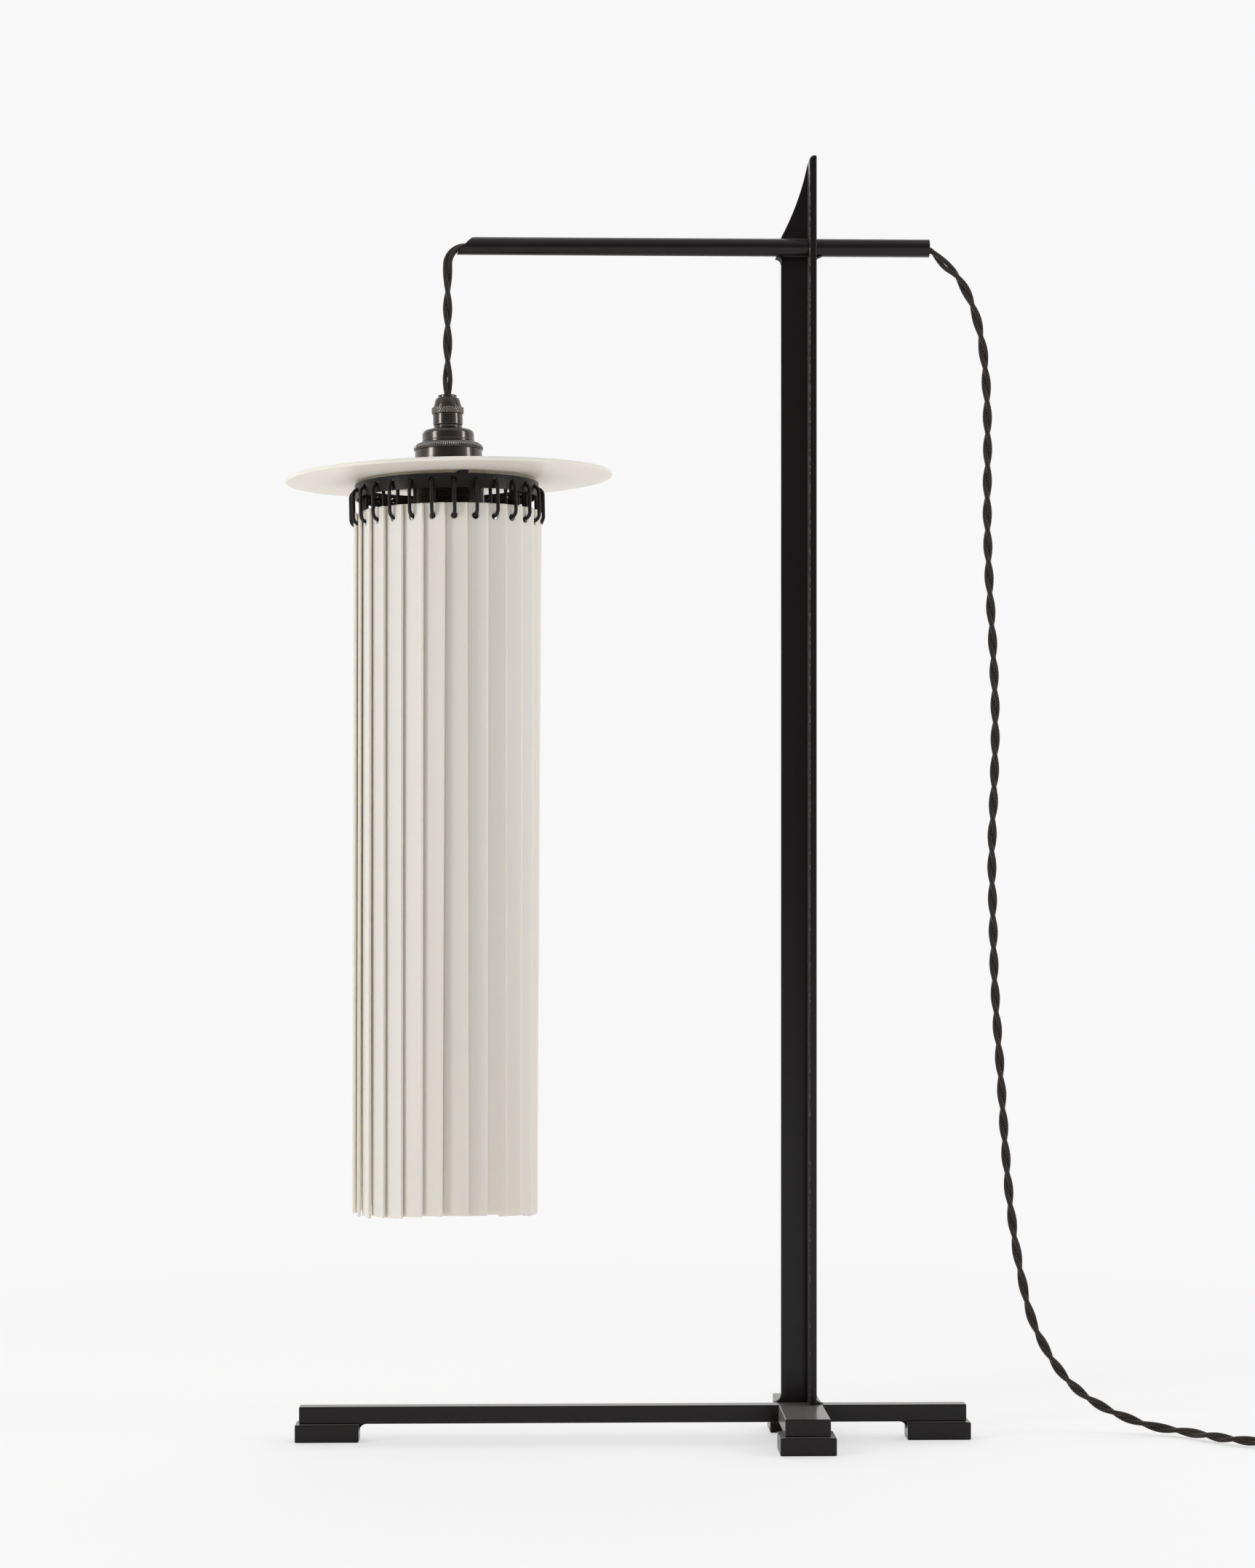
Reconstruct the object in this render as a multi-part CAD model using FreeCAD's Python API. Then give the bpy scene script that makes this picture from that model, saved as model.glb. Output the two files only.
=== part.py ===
import FreeCAD
import Part
import math
import os

# Porcelain table lamp: a welded black steel stand, an arm tube that carries a twisted flex, and a
# hanging shade of porcelain strips hooked round a hoop. Millimetres, +Z up, front towards -Y.
# The origin is on the table, under the middle of the lamp without its mains lead.

V = FreeCAD.Vector
X_AXIS = V(1, 0, 0)
Y_AXIS = V(0, 1, 0)
Z_AXIS = V(0, 0, 1)

# Fits
WELD_GAP = 0.05
THREAD_GAP = 0.05
RUN_GAP = 0.05
FREE_GAP = 0.3
TABLE_GAP = 0.3
TIE_GAP = 0.6
HANG_GAP = 0.6
LIP_GAP = 0.2

# Base: lengths are measured from the post's axis
BAR_SIDE = 10.0
LONG_BAR_LEFT = 291.8
LONG_BAR_RIGHT = 97.0
CROSS_BAR_WIDTH = 26.0
CROSS_BAR_FRONT = 57.4
CROSS_BAR_REAR = 40.7
BAR_ROUND = 0.7
FOOT_HEIGHT = 10.2
SIDE_FOOT_LENGTH = 37.0
SIDE_FOOT_WIDTH = 18.0
SIDE_FOOT_OVERHANG = 2.2
CROSS_FOOT_LENGTH = 26.0
CROSS_FOOT_WIDTH = 32.0
CROSS_FOOT_OVERHANG = 4.0
FOOT_WELD = 4.6

# Post: an angle section with its web behind the arm and its flange round the arm
TOTAL_HEIGHT = 748.7
POST_LEFT = 10.6
POST_RIGHT = 9.3
FLANGE_THICKNESS = 4.3
FLANGE_FRONT = 2.0
WEB_THICKNESS = 4.0
FIN_START = 1.8
FIN_TIP_WIDTH = 0.3
FIN_TIP_DROP = 2.0
FIN_HOLLOW = 2.2
FLANGE_TOP_LEFT = 2.0
FLANGE_TOP_RIGHT = 1.0
POST_WELD = 4.2

# Arm tube
ARM_DIAMETER = 10.4
ARM_WALL = 1.2
ARM_BELOW_TOP = 52.7
ARM_RIGHT = 75.7
MOUTH_SLOPE = 47.0
ARM_WELD = 3.4

# Flex
CORD_DIAMETER = 5.7
CORD_SEAT = 0.35
CORD_BEND = 7.4
CORD_DROP = 86.35
GRIP_CLEAR = 0.5

# Shade head: distances down the lampholder, and radii
SHADE_REACH = 205.7
SHADE_TILT = 1.15
GRIP_LIP_RADIUS = 5.5
GRIP_LIP_HEIGHT = 2.0
GRIP_CONE_TOP_RADIUS = 7.2
GRIP_CONE_RADIUS = 8.5
GRIP_CONE_HEIGHT = 5.3
GRIP_KNURL_RADIUS = 9.3
GRIP_KNURL_HEIGHT = 3.9
NIPPLE_RADIUS = 8.65
NIPPLE_HEIGHT = 6.6
NIPPLE_NECK_RADIUS = 8.2
NIPPLE_NECK_HEIGHT = 2.2
SPIGOT_RADIUS = 6.4
SPIGOT_LENGTH = 4.0
CAP_RADIUS = 15.25
CAP_HEIGHT = 7.9
CAP_SHOULDER = 3.6
CAP_WALL = 1.4
CAP_FLANGE = 2.3
RING_RADIUS = 20.2
RING_HEIGHT = 4.5
RING_LIP = 1.4
SHELL_RADIUS = 19.6
SHELL_HEIGHT = 15.0
NECK_RADIUS = 18.0
NECK_WALL = 1.6
NECK_LENGTH = 20.0
SKIRT_RADIUS = 20.3
SKIRT_LENGTH = 21.0
SKIRT_PITCH = 1.05
SKIRT_GROOVE = 0.55
CORE_HEIGHT = 10.0
CONTACT_RADIUS = 14.2
CONTACT_WALL = 0.8
CONTACT_LENGTH = 22.0
PIN_CONTACT_RADIUS = 4.0
PIN_CONTACT_HEIGHT = 1.2
BULB_CAP_LENGTH = 25.0
BULB_CAP_TAPER = 4.0
BULB_TIP_RADIUS = 4.6
BULB_NECK_RADIUS = 12.6
BULB_RADIUS = 30.0
BULB_NECK_LENGTH = 38.0
BULB_WALL = 1.0

# Porcelain disc, hoop and hooks
DISC_RADIUS = 95.3
DISC_THICKNESS = 2.2
SPIDER_RADIUS = 26.0
SPIDER_THICKNESS = 1.2
SPOKE_WIDTH = 5.0
SPOKES = 3
TAB_DROP = 5.5
HOOP_RADIUS = 53.5
HOOP_WALL = 1.2
HOOP_HEIGHT = 8.2
HOOP_BELOW_DISC = 2.6
HOOP_HOLE = 3.0
HOOP_HOLE_DOWN = 3.5
HOOK_WIRE = 2.1
HOOK_HALF_WIDTH = 4.0
HOOK_DROP = 19.2

# Porcelain strips: each turned a little, so that its right edge lies over its right neighbour
STRIPS = 27
FIRST_STRIP_ANGLE = -84.2
STRIP_WIDTH = 15.0
STRIP_THICKNESS = 2.0
STRIP_LENGTH = 405.4
STRIP_RADIUS = 52.0
STRIP_TURN = 12.5
STRIP_ROUND = 0.7
STRIP_HOLE = 3.8
STRIP_HOLE_DOWN = 7.4
STRIP_UNEVEN = 0.4
STRIP_WAVE = 2.4
STRIP_SIDES_LONGER = 4.0
SHORTEST_STRIP_ANGLE = -75.0

# Mains lead, and what is on it past the right end of the lamp: places are from the post's axis
LEAD_EXIT = 695.2
LEAD_START = 3.0
SWITCH_LEFT = 294.0
SWITCH_Y = -46.5
SWITCH_LENGTH = 56.0
SWITCH_WIDTH = 24.0
SWITCH_HEIGHT = 12.6
SWITCH_WALL = 1.8
SWITCH_END_ROUND = 9.0
ROCKER_RADIUS = 8.5
ROCKER_WIDTH = 10.4
ROCKER_AXLE_RADIUS = 1.2
ROCKER_AXLE_LENGTH = 1.5
ROCKER_TILT = 7.0
ROCKER_DEPTH = 2.6
COIL_X = 342.0
COIL_Y = 18.0
COIL_RADIUS = 36.0
COIL_STEP = 6.4
COIL_TURNS = 4
COIL_EASE = math.radians(40)
COIL_LIFT = 1.2
TIE_WIDTH = 6.0
TIE_THICKNESS = 0.7
PLUG_GAP = 38.0
PLUG_HEIGHT = 7.5
PLUG_WIDTH = 26.0
PLUG_THICKNESS = 13.4
PLUG_LENGTH = 30.0
PLUG_NOSE = 12.0
PLUG_NOSE_RADIUS = 4.2
PIN_DIAMETER = 4.0
PIN_LENGTH = 19.0
PIN_SPACING = 18.6

# Heights and radii that follow from those
BASE_TOP = FOOT_HEIGHT + BAR_SIDE
ARM_HEIGHT = TOTAL_HEIGHT - ARM_BELOW_TOP
ARM_RADIUS = ARM_DIAMETER / 2
CORD_RADIUS = CORD_DIAMETER / 2
CORD_Z = ARM_HEIGHT - ARM_RADIUS + ARM_WALL + CORD_SEAT + CORD_RADIUS
GRIP_TOP = CORD_Z - CORD_DROP
KNURL_TOP = GRIP_TOP - GRIP_LIP_HEIGHT - GRIP_CONE_HEIGHT
KNURL_BOTTOM = KNURL_TOP - GRIP_KNURL_HEIGHT
NIPPLE_BOTTOM = KNURL_BOTTOM - NIPPLE_HEIGHT
CAP_TOP = NIPPLE_BOTTOM - NIPPLE_NECK_HEIGHT
RING_TOP = CAP_TOP - CAP_HEIGHT
RING_BOTTOM = RING_TOP - RING_HEIGHT
DISC_TOP = RING_BOTTOM - SHELL_HEIGHT
DISC_BOTTOM = DISC_TOP - DISC_THICKNESS
SPIDER_BOTTOM = DISC_BOTTOM - SPIDER_THICKNESS
HOOP_TOP = DISC_BOTTOM - HOOP_BELOW_DISC
HOOP_BOTTOM = HOOP_TOP - HOOP_HEIGHT
HOOP_INNER = HOOP_RADIUS - HOOP_WALL
HOOP_HOLE_Z = HOOP_TOP - HOOP_HOLE_DOWN
WIRE_RADIUS = HOOK_WIRE / 2
HOOK_INSIDE = HOOK_HALF_WIDTH - WIRE_RADIUS
HOOK_SAG = HOOK_INSIDE - math.sqrt(HOOK_INSIDE ** 2 - (HOOP_RADIUS - STRIP_RADIUS) ** 2)
HOOK_TOP = HOOP_HOLE_Z - HOOP_HOLE / 2 + WIRE_RADIUS + HOOK_SAG + RUN_GAP
HOOK_BOTTOM = HOOK_TOP - HOOK_DROP
STRIP_PITCH = 360.0 / STRIPS
GRIP_MIDDLE = (GRIP_TOP + KNURL_BOTTOM) / 2

# The post's place puts the origin midway between the disc's left rim and the right foot.
# The hoop sits off the head's tilted axis, so that the strips hang evenly round the flex.
TILT = math.radians(SHADE_TILT)
RIM_ROUND = DISC_THICKNESS / 2
RIM_DOWN = GRIP_MIDDLE - (DISC_TOP + DISC_BOTTOM) / 2
HOOP_SHIFT = V((GRIP_MIDDLE - HOOK_BOTTOM) * math.tan(TILT), 0, 0)
DISC_LEFT = SHADE_REACH + (DISC_RADIUS - RIM_ROUND) * math.cos(TILT) - RIM_DOWN * math.sin(TILT) + RIM_ROUND
LEFT_END = -max(DISC_LEFT, LONG_BAR_LEFT + SIDE_FOOT_OVERHANG)
RIGHT_END = LONG_BAR_RIGHT + SIDE_FOOT_OVERHANG
POST_X = -(LEFT_END + RIGHT_END) / 2
SHADE_X = POST_X - SHADE_REACH
ARM_END = POST_X + ARM_RIGHT

# The cord bends over the arm's lower lip: the lip's inner edge is a gap inside the bend
BEND_CENTRE = V(SHADE_X + CORD_BEND, 0, CORD_Z - CORD_BEND)
LIP_Z = ARM_HEIGHT - ARM_RADIUS
LIP_REACH = CORD_BEND - CORD_RADIUS - LIP_GAP
LIP_INNER = BEND_CENTRE.x - math.sqrt(LIP_REACH ** 2 - (LIP_Z + ARM_WALL - BEND_CENTRE.z) ** 2)
LIP_X = LIP_INNER - ARM_WALL / math.tan(math.radians(MOUTH_SLOPE))
SWING_FRONT_PIVOT = V(SHADE_X, 0, CORD_Z)
SWING_SIDE_PIVOT = V(SHADE_X, 0, BEND_CENTRE.z - FREE_GAP - CORD_RADIUS)
TURN_PIVOT = V(SHADE_X, 0, GRIP_MIDDLE)

# Mains lead: route points as (from post, depth, height), read with the arm's exit at LEAD_EXIT
SWITCH_Z = TABLE_GAP + SWITCH_HEIGHT / 2
LEAD_Z = CORD_RADIUS + TABLE_GAP
LEAD_HANGS = [
    (81.7, 0.05, 693.9),
    (84.6, 0.1, 690.0),
    (92.0, 0.3, 680.3),
    (100.0, 0.6, 663.4),
    (105.7, 0.9, 643.0),
    (109.0, 1.2, 616.0),
    (110.6, 1.5, 581.0),
    (110.6, 1.8, 543.0),
    (112.0, 2.1, 505.0),
    (114.1, 2.5, 465.0),
    (115.4, 2.9, 425.0),
    (114.7, 3.4, 385.0),
    (113.0, 3.9, 345.0),
    (113.5, 4.4, 305.0),
    (115.6, 4.9, 262.0),
    (118.8, 5.5, 216.0),
    (122.4, 6.1, 170.0),
    (126.0, 6.8, 127.0),
    (130.6, 7.5, 94.0),
    (137.9, 8.2, 69.0),
    (145.6, 8.9, 51.0),
    (154.8, 9.6, 36.0),
    (166.0, 10.0, 24.5),
    (179.5, 10.2, 15.6),
    (194.0, 9.6, 9.2),
    (208.5, 7.4, 4.6),
]
LEAD_LIES = [
    (221.0, 1.6, 3.3),
    (230.8, -9.6, 3.2),
    (240.4, -22.6, 3.2),
    (252.6, -34.6, 3.2),
    (267.5, -43.2, 3.6),
    (282.0, SWITCH_Y, SWITCH_Z),
    (SWITCH_LEFT, SWITCH_Y, SWITCH_Z),
]


def box(x0, x1, y0, y1, z0, z1):
    return Part.makeBox(x1 - x0, y1 - y0, z1 - z0, V(x0, y0, z0))


def rounded_box(x0, x1, y0, y1, z0, z1, radius):
    solid = box(x0, x1, y0, y1, z0, z1)
    return solid.makeFillet(radius, solid.Edges)


def cylinder(radius, length, start, direction):
    return Part.makeCylinder(radius, length, start, direction)


def face(edges):
    return Part.Face(Part.Wire(edges))


def line(a, b):
    return Part.LineSegment(a, b).toShape()


def arc(a, middle, b):
    return Part.Arc(a, middle, b).toShape()


def polygon(points):
    return Part.Face(Part.makePolygon(points + points[:1]))


def turned(profile):
    """A solid of revolution about the shade's axis, from (radius, height) pairs."""
    points = [V(SHADE_X + r, 0, z) for r, z in profile]
    return polygon(points).revolve(V(SHADE_X, 0, 0), Z_AXIS, 360)


def tilted(shape):
    """The shade head hangs a little out of level, turned about the middle of its cord grip."""
    shape = shape.copy()
    shape.rotate(TURN_PIVOT, Y_AXIS, -SHADE_TILT)
    return shape


def weld(corner, along, up, leg, width):
    """A fillet weld: legs along two directions from a corner, a hollow face, centred on its width."""
    side = along.cross(up)
    start = corner - side * (width / 2)
    a = start + along * leg
    b = start + up * leg
    centre = start + (along + up) * leg
    middle = centre - (along + up) * (leg / math.sqrt(2))
    return face([line(start, a), arc(a, middle, b), line(b, start)]).extrude(side * width)


def biarc(p0, t0, p1, t1):
    """Two arcs from p0 to p1 that leave along t0, arrive along t1 and share a tangent where they meet."""
    v = p1 - p0
    both = v.dot(t0 + t1)
    bend = 2 * (1 - t0.dot(t1))
    if bend < 1e-9:
        reach = v.dot(v) / (2 * both)
    else:
        reach = (-both + math.sqrt(both ** 2 + bend * v.dot(v))) / bend
    q0 = p0 + t0 * reach
    q1 = p1 - t1 * reach
    joint = (q0 + q1) * 0.5
    return arc_by_tangent(p0, q0, joint) + arc_by_tangent(joint, q1, p1)


def arc_by_tangent(a, corner, b):
    """The arc from a to b whose end tangents meet at corner, or a line where they are straight."""
    u = (a - corner).normalize()
    w = (b - corner).normalize()
    if (u + w).Length < 1e-6:
        return [line(a, b)]
    half = u.getAngle(w) / 2
    leg = (a - corner).Length
    radius = leg * math.tan(half)
    out = (u + w).normalize()
    return [arc(a, corner + out * (radius / math.sin(half) - radius), b)]


def tube(edges, radius):
    """A round tube along a smooth path, checked by its volume."""
    path = Part.Wire(edges)
    start = edges[0].valueAt(edges[0].FirstParameter)
    heading = edges[0].tangentAt(edges[0].FirstParameter)
    ring = Part.Wire(Part.makeCircle(radius, start, heading))
    solid = path.makePipeShell([ring], True, False)
    ratio = solid.Volume / (math.pi * radius ** 2 * path.Length)
    return solid, path.Length, ratio


def route_edges(points):
    """Straight runs joined by tangent arcs as large as the runs beside each point allow."""
    edges = []
    radii = []
    last = points[0]
    for before, here, after in zip(points, points[1:], points[2:]):
        back = before - here
        ahead = after - here
        half_turn = (math.pi - back.getAngle(ahead)) / 2
        leg = 0.45 * min(back.Length, ahead.Length)
        start = here + back.normalize() * leg
        end = here + ahead.normalize() * leg
        edges.append(line(last, start))
        edges += arc_by_tangent(start, here, end)
        radii.append(leg / math.tan(half_turn))
        last = end
    edges.append(line(last, points[-1]))
    return edges, radii


def base_bars():
    edge = BAR_SIDE / 2
    half = CROSS_BAR_WIDTH / 2
    left = POST_X - LONG_BAR_LEFT
    right = POST_X + LONG_BAR_RIGHT
    x0 = POST_X - half
    x1 = POST_X + half
    return {
        "base_long_bar": rounded_box(left, right, -edge, edge, FOOT_HEIGHT, BASE_TOP, BAR_ROUND),
        "cross_bar_front": rounded_box(x0, x1, -CROSS_BAR_FRONT, -edge, FOOT_HEIGHT, BASE_TOP, BAR_ROUND),
        "cross_bar_rear": rounded_box(x0, x1, edge, CROSS_BAR_REAR, FOOT_HEIGHT, BASE_TOP, BAR_ROUND),
    }


def side_foot_spans():
    left = POST_X - LONG_BAR_LEFT - SIDE_FOOT_OVERHANG
    right = POST_X + LONG_BAR_RIGHT + SIDE_FOOT_OVERHANG
    return (left, left + SIDE_FOOT_LENGTH), (right - SIDE_FOOT_LENGTH, right)


def cross_foot_spans():
    front = -CROSS_BAR_FRONT - CROSS_FOOT_OVERHANG
    rear = CROSS_BAR_REAR + CROSS_FOOT_OVERHANG
    return (front, front + CROSS_FOOT_LENGTH), (rear - CROSS_FOOT_LENGTH, rear)


def feet():
    wide = SIDE_FOOT_WIDTH / 2
    half = CROSS_FOOT_WIDTH / 2
    side = [rounded_box(a, b, -wide, wide, 0, FOOT_HEIGHT, BAR_ROUND) for a, b in side_foot_spans()]
    cross = [
        rounded_box(POST_X - half, POST_X + half, a, b, 0, FOOT_HEIGHT, BAR_ROUND)
        for a, b in cross_foot_spans()
    ]
    return {"side_feet": Part.makeCompound(side), "cross_feet": Part.makeCompound(cross)}


def post_sides():
    """The post's left, inner and right edges across, and its front, web and back edges in depth."""
    left = POST_X - POST_LEFT
    right = POST_X + POST_RIGHT
    web_front = ARM_RADIUS + WELD_GAP
    return left, right - FLANGE_THICKNESS, right, -ARM_RADIUS - FLANGE_FRONT, web_front, web_front + WEB_THICKNESS


def post():
    left, inner, right, front, web_front, back = post_sides()
    fin_foot = V(left, web_front, ARM_HEIGHT + ARM_RADIUS + FIN_START)
    fin_tip = V(inner - FIN_TIP_WIDTH, web_front, TOTAL_HEIGHT - FIN_TIP_DROP)
    chord = fin_tip - fin_foot
    hollow = V(chord.z, 0, -chord.x).normalize() * FIN_HOLLOW
    web_corners = [
        fin_tip,
        V(inner, web_front, fin_tip.z),
        V(inner, web_front, BASE_TOP),
        V(left, web_front, BASE_TOP),
        fin_foot,
    ]
    web_edges = [line(a, b) for a, b in zip(web_corners, web_corners[1:])]
    web_edges.append(arc(fin_foot, fin_foot + chord * 0.5 + hollow, fin_tip))
    web = face(web_edges).extrude(Y_AXIS * WEB_THICKNESS)
    flange = box(inner, right, front, back, BASE_TOP, TOTAL_HEIGHT)
    top_edges = [e for e in flange.Edges if is_top_edge(e)]
    flange = flange.makeFillet(FLANGE_TOP_LEFT, [e for e in top_edges if e.CenterOfMass.x < (inner + right) / 2])
    top_edges = [e for e in flange.Edges if is_top_edge(e)]
    flange = flange.makeFillet(FLANGE_TOP_RIGHT, [e for e in top_edges if abs(e.CenterOfMass.x - right) < RUN_GAP])
    hole = cylinder(ARM_RADIUS + WELD_GAP, 3 * FLANGE_THICKNESS, V(inner - FLANGE_THICKNESS, 0, ARM_HEIGHT), X_AXIS)
    return {"post": flange.fuse(web).removeSplitter().cut(hole)}


def is_top_edge(edge):
    """A straight edge along the depth at the very top of the post."""
    a, b = (v.Point for v in edge.Vertexes[:2]) if len(edge.Vertexes) > 1 else (V(), V())
    return abs(a.z - TOTAL_HEIGHT) < RUN_GAP and abs(b.z - TOTAL_HEIGHT) < RUN_GAP and abs(a.x - b.x) < RUN_GAP


def arm():
    rod = cylinder(ARM_RADIUS, ARM_END - LIP_X, V(LIP_X, 0, ARM_HEIGHT), X_AXIS)
    bore = cylinder(ARM_RADIUS - ARM_WALL, ARM_END - LIP_X, V(LIP_X, 0, ARM_HEIGHT), X_AXIS)
    run = ARM_DIAMETER / math.tan(math.radians(MOUTH_SLOPE))
    wedge = polygon([
        V(LIP_X, -ARM_DIAMETER, LIP_Z),
        V(LIP_X + run, -ARM_DIAMETER, LIP_Z + ARM_DIAMETER),
        V(LIP_X, -ARM_DIAMETER, LIP_Z + ARM_DIAMETER),
    ]).extrude(Y_AXIS * 2 * ARM_DIAMETER)
    return {"arm_tube": rod.cut(bore).cut(wedge)}


def welds():
    left, inner, right, front, web_front, back = post_sides()
    down = Z_AXIS * -1
    backwards = X_AXIS * -1
    (left_a, left_b), (right_a, right_b) = side_foot_spans()
    web_middle = (web_front + back) / 2
    arm_quarter = ARM_RADIUS / 4
    flange_middle = (front + back) / 2
    under_arm = ARM_HEIGHT - ARM_RADIUS - WELD_GAP
    gusset = BAR_SIDE - 2 * BAR_ROUND
    solids = [
        weld(V(left_b, 0, FOOT_HEIGHT), X_AXIS, down, FOOT_WELD, gusset),
        weld(V(right_a, 0, FOOT_HEIGHT), backwards, down, FOOT_WELD, gusset),
        weld(V(left, web_middle, BASE_TOP), backwards, Z_AXIS, POST_WELD, WEB_THICKNESS),
        weld(V(right, flange_middle, BASE_TOP), X_AXIS, Z_AXIS, POST_WELD, back - front - 2 * POST_WELD),
        weld(V(left, (back - arm_quarter) / 2, under_arm), backwards, down, ARM_WELD, back + arm_quarter),
        weld(V(right, 0, under_arm), X_AXIS, down, ARM_WELD, ARM_RADIUS),
    ]
    return {"weld_fillets": Part.makeCompound(solids)}


def inner_cord():
    start = SHADE_X + CORD_BEND + FREE_GAP
    in_arm = cylinder(CORD_RADIUS, ARM_END - start, V(start, 0, CORD_Z), X_AXIS)
    ring = Part.makeCircle(CORD_RADIUS, V(BEND_CENTRE.x, 0, CORD_Z), X_AXIS)
    bend = face([ring]).revolve(BEND_CENTRE, Y_AXIS, -90)
    foot = CAP_TOP - CAP_HEIGHT + CAP_WALL
    drop = cylinder(CORD_RADIUS, SWING_SIDE_PIVOT.z - foot, V(SHADE_X, 0, foot), Z_AXIS)
    drop = drop.fuse(Part.makeSphere(CORD_RADIUS, SWING_SIDE_PIVOT))
    return {"cord_in_arm": in_arm, "cord_bend": bend, "cord_drop": drop.removeSplitter()}


def lampholder():
    bore = CORD_RADIUS + GRIP_CLEAR
    socket = SPIGOT_RADIUS + THREAD_GAP
    nut = turned([
        (bore, GRIP_TOP),
        (GRIP_LIP_RADIUS, GRIP_TOP),
        (GRIP_LIP_RADIUS, GRIP_TOP - GRIP_LIP_HEIGHT / 2),
        (GRIP_CONE_TOP_RADIUS, GRIP_TOP - GRIP_LIP_HEIGHT),
        (GRIP_CONE_RADIUS, KNURL_TOP),
        (GRIP_KNURL_RADIUS, KNURL_TOP),
        (GRIP_KNURL_RADIUS, KNURL_BOTTOM),
        (socket, KNURL_BOTTOM),
        (socket, KNURL_BOTTOM + SPIGOT_LENGTH + FREE_GAP),
        (bore, KNURL_BOTTOM + SPIGOT_LENGTH + FREE_GAP),
    ])
    nipple = turned([
        (bore, KNURL_BOTTOM + SPIGOT_LENGTH),
        (SPIGOT_RADIUS, KNURL_BOTTOM + SPIGOT_LENGTH),
        (SPIGOT_RADIUS, KNURL_BOTTOM),
        (NIPPLE_RADIUS, KNURL_BOTTOM),
        (NIPPLE_RADIUS, NIPPLE_BOTTOM),
        (NIPPLE_NECK_RADIUS, NIPPLE_BOTTOM),
        (NIPPLE_NECK_RADIUS, CAP_TOP),
        (SPIGOT_RADIUS, CAP_TOP),
        (SPIGOT_RADIUS, CAP_TOP - SPIGOT_LENGTH),
        (bore, CAP_TOP - SPIGOT_LENGTH),
    ])
    flange_top = RING_TOP - RING_LIP
    flange_bottom = flange_top - CAP_WALL
    flange_radius = CAP_RADIUS + CAP_FLANGE
    round_start = CAP_RADIUS - CAP_SHOULDER
    round_middle = CAP_SHOULDER / math.sqrt(2)
    outline = [
        line(V(socket, 0, CAP_TOP), V(round_start, 0, CAP_TOP)),
        arc(
            V(round_start, 0, CAP_TOP),
            V(round_start + round_middle, 0, CAP_TOP - CAP_SHOULDER + round_middle),
            V(CAP_RADIUS, 0, CAP_TOP - CAP_SHOULDER),
        ),
    ]
    corners = [
        V(CAP_RADIUS, 0, CAP_TOP - CAP_SHOULDER),
        V(CAP_RADIUS, 0, flange_top),
        V(flange_radius, 0, flange_top),
        V(flange_radius, 0, flange_bottom),
        V(CAP_RADIUS - CAP_WALL, 0, flange_bottom),
        V(CAP_RADIUS - CAP_WALL, 0, CAP_TOP - CAP_SHOULDER),
        V(round_start, 0, CAP_TOP - CAP_WALL),
        V(socket, 0, CAP_TOP - CAP_WALL),
        V(socket, 0, CAP_TOP),
    ]
    outline += [line(a, b) for a, b in zip(corners, corners[1:])]
    cap = face(outline)
    cap.translate(V(SHADE_X, 0, 0))
    cap = cap.revolve(V(SHADE_X, 0, 0), Z_AXIS, 360)
    ring_bore = flange_radius + THREAD_GAP
    ring = turned([
        (CAP_RADIUS + THREAD_GAP, RING_TOP),
        (RING_RADIUS, RING_TOP),
        (RING_RADIUS, RING_BOTTOM),
        (ring_bore, RING_BOTTOM),
        (ring_bore, flange_top),
        (CAP_RADIUS + THREAD_GAP, flange_top),
    ])
    neck_bottom = DISC_TOP - NECK_LENGTH
    neck_bore = NECK_RADIUS - NECK_WALL
    shell = turned([
        (neck_bore, flange_bottom),
        (flange_radius, flange_bottom),
        (flange_radius, RING_BOTTOM),
        (SHELL_RADIUS, RING_BOTTOM),
        (SHELL_RADIUS, DISC_TOP),
        (NECK_RADIUS, DISC_TOP),
        (NECK_RADIUS, neck_bottom),
        (neck_bore, neck_bottom),
    ])
    ridges = []
    count = int(SKIRT_LENGTH / SKIRT_PITCH)
    for i in range(count):
        top = SPIDER_BOTTOM - i * SKIRT_LENGTH / count
        ridges.append((SKIRT_RADIUS - SKIRT_GROOVE, top))
        ridges.append((SKIRT_RADIUS, top - SKIRT_LENGTH / count / 2))
    skirt_bottom = SPIDER_BOTTOM - SKIRT_LENGTH
    skirt_bore = NECK_RADIUS + THREAD_GAP
    skirt = turned(
        ridges
        + [(SKIRT_RADIUS - SKIRT_GROOVE, skirt_bottom), (skirt_bore, skirt_bottom), (skirt_bore, SPIDER_BOTTOM)]
    )
    core_radius = neck_bore - THREAD_GAP
    core_bottom = flange_bottom - CORE_HEIGHT
    core = cylinder(core_radius, CORE_HEIGHT, V(SHADE_X, 0, core_bottom), Z_AXIS)
    sleeve = turned([
        (CONTACT_RADIUS, core_bottom),
        (CONTACT_RADIUS, core_bottom - CONTACT_LENGTH),
        (CONTACT_RADIUS - CONTACT_WALL, core_bottom - CONTACT_LENGTH),
        (CONTACT_RADIUS - CONTACT_WALL, core_bottom),
    ])
    pin_bottom = core_bottom - PIN_CONTACT_HEIGHT
    pin = cylinder(PIN_CONTACT_RADIUS, PIN_CONTACT_HEIGHT, V(SHADE_X, 0, pin_bottom), Z_AXIS)
    cap_radius = CONTACT_RADIUS - CONTACT_WALL - THREAD_GAP
    bulb_cap_bottom = pin_bottom - BULB_CAP_LENGTH
    bulb_cap = turned([
        (0, pin_bottom),
        (BULB_TIP_RADIUS, pin_bottom),
        (cap_radius, pin_bottom - BULB_CAP_TAPER),
        (cap_radius, bulb_cap_bottom),
        (0, bulb_cap_bottom),
    ])
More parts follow.
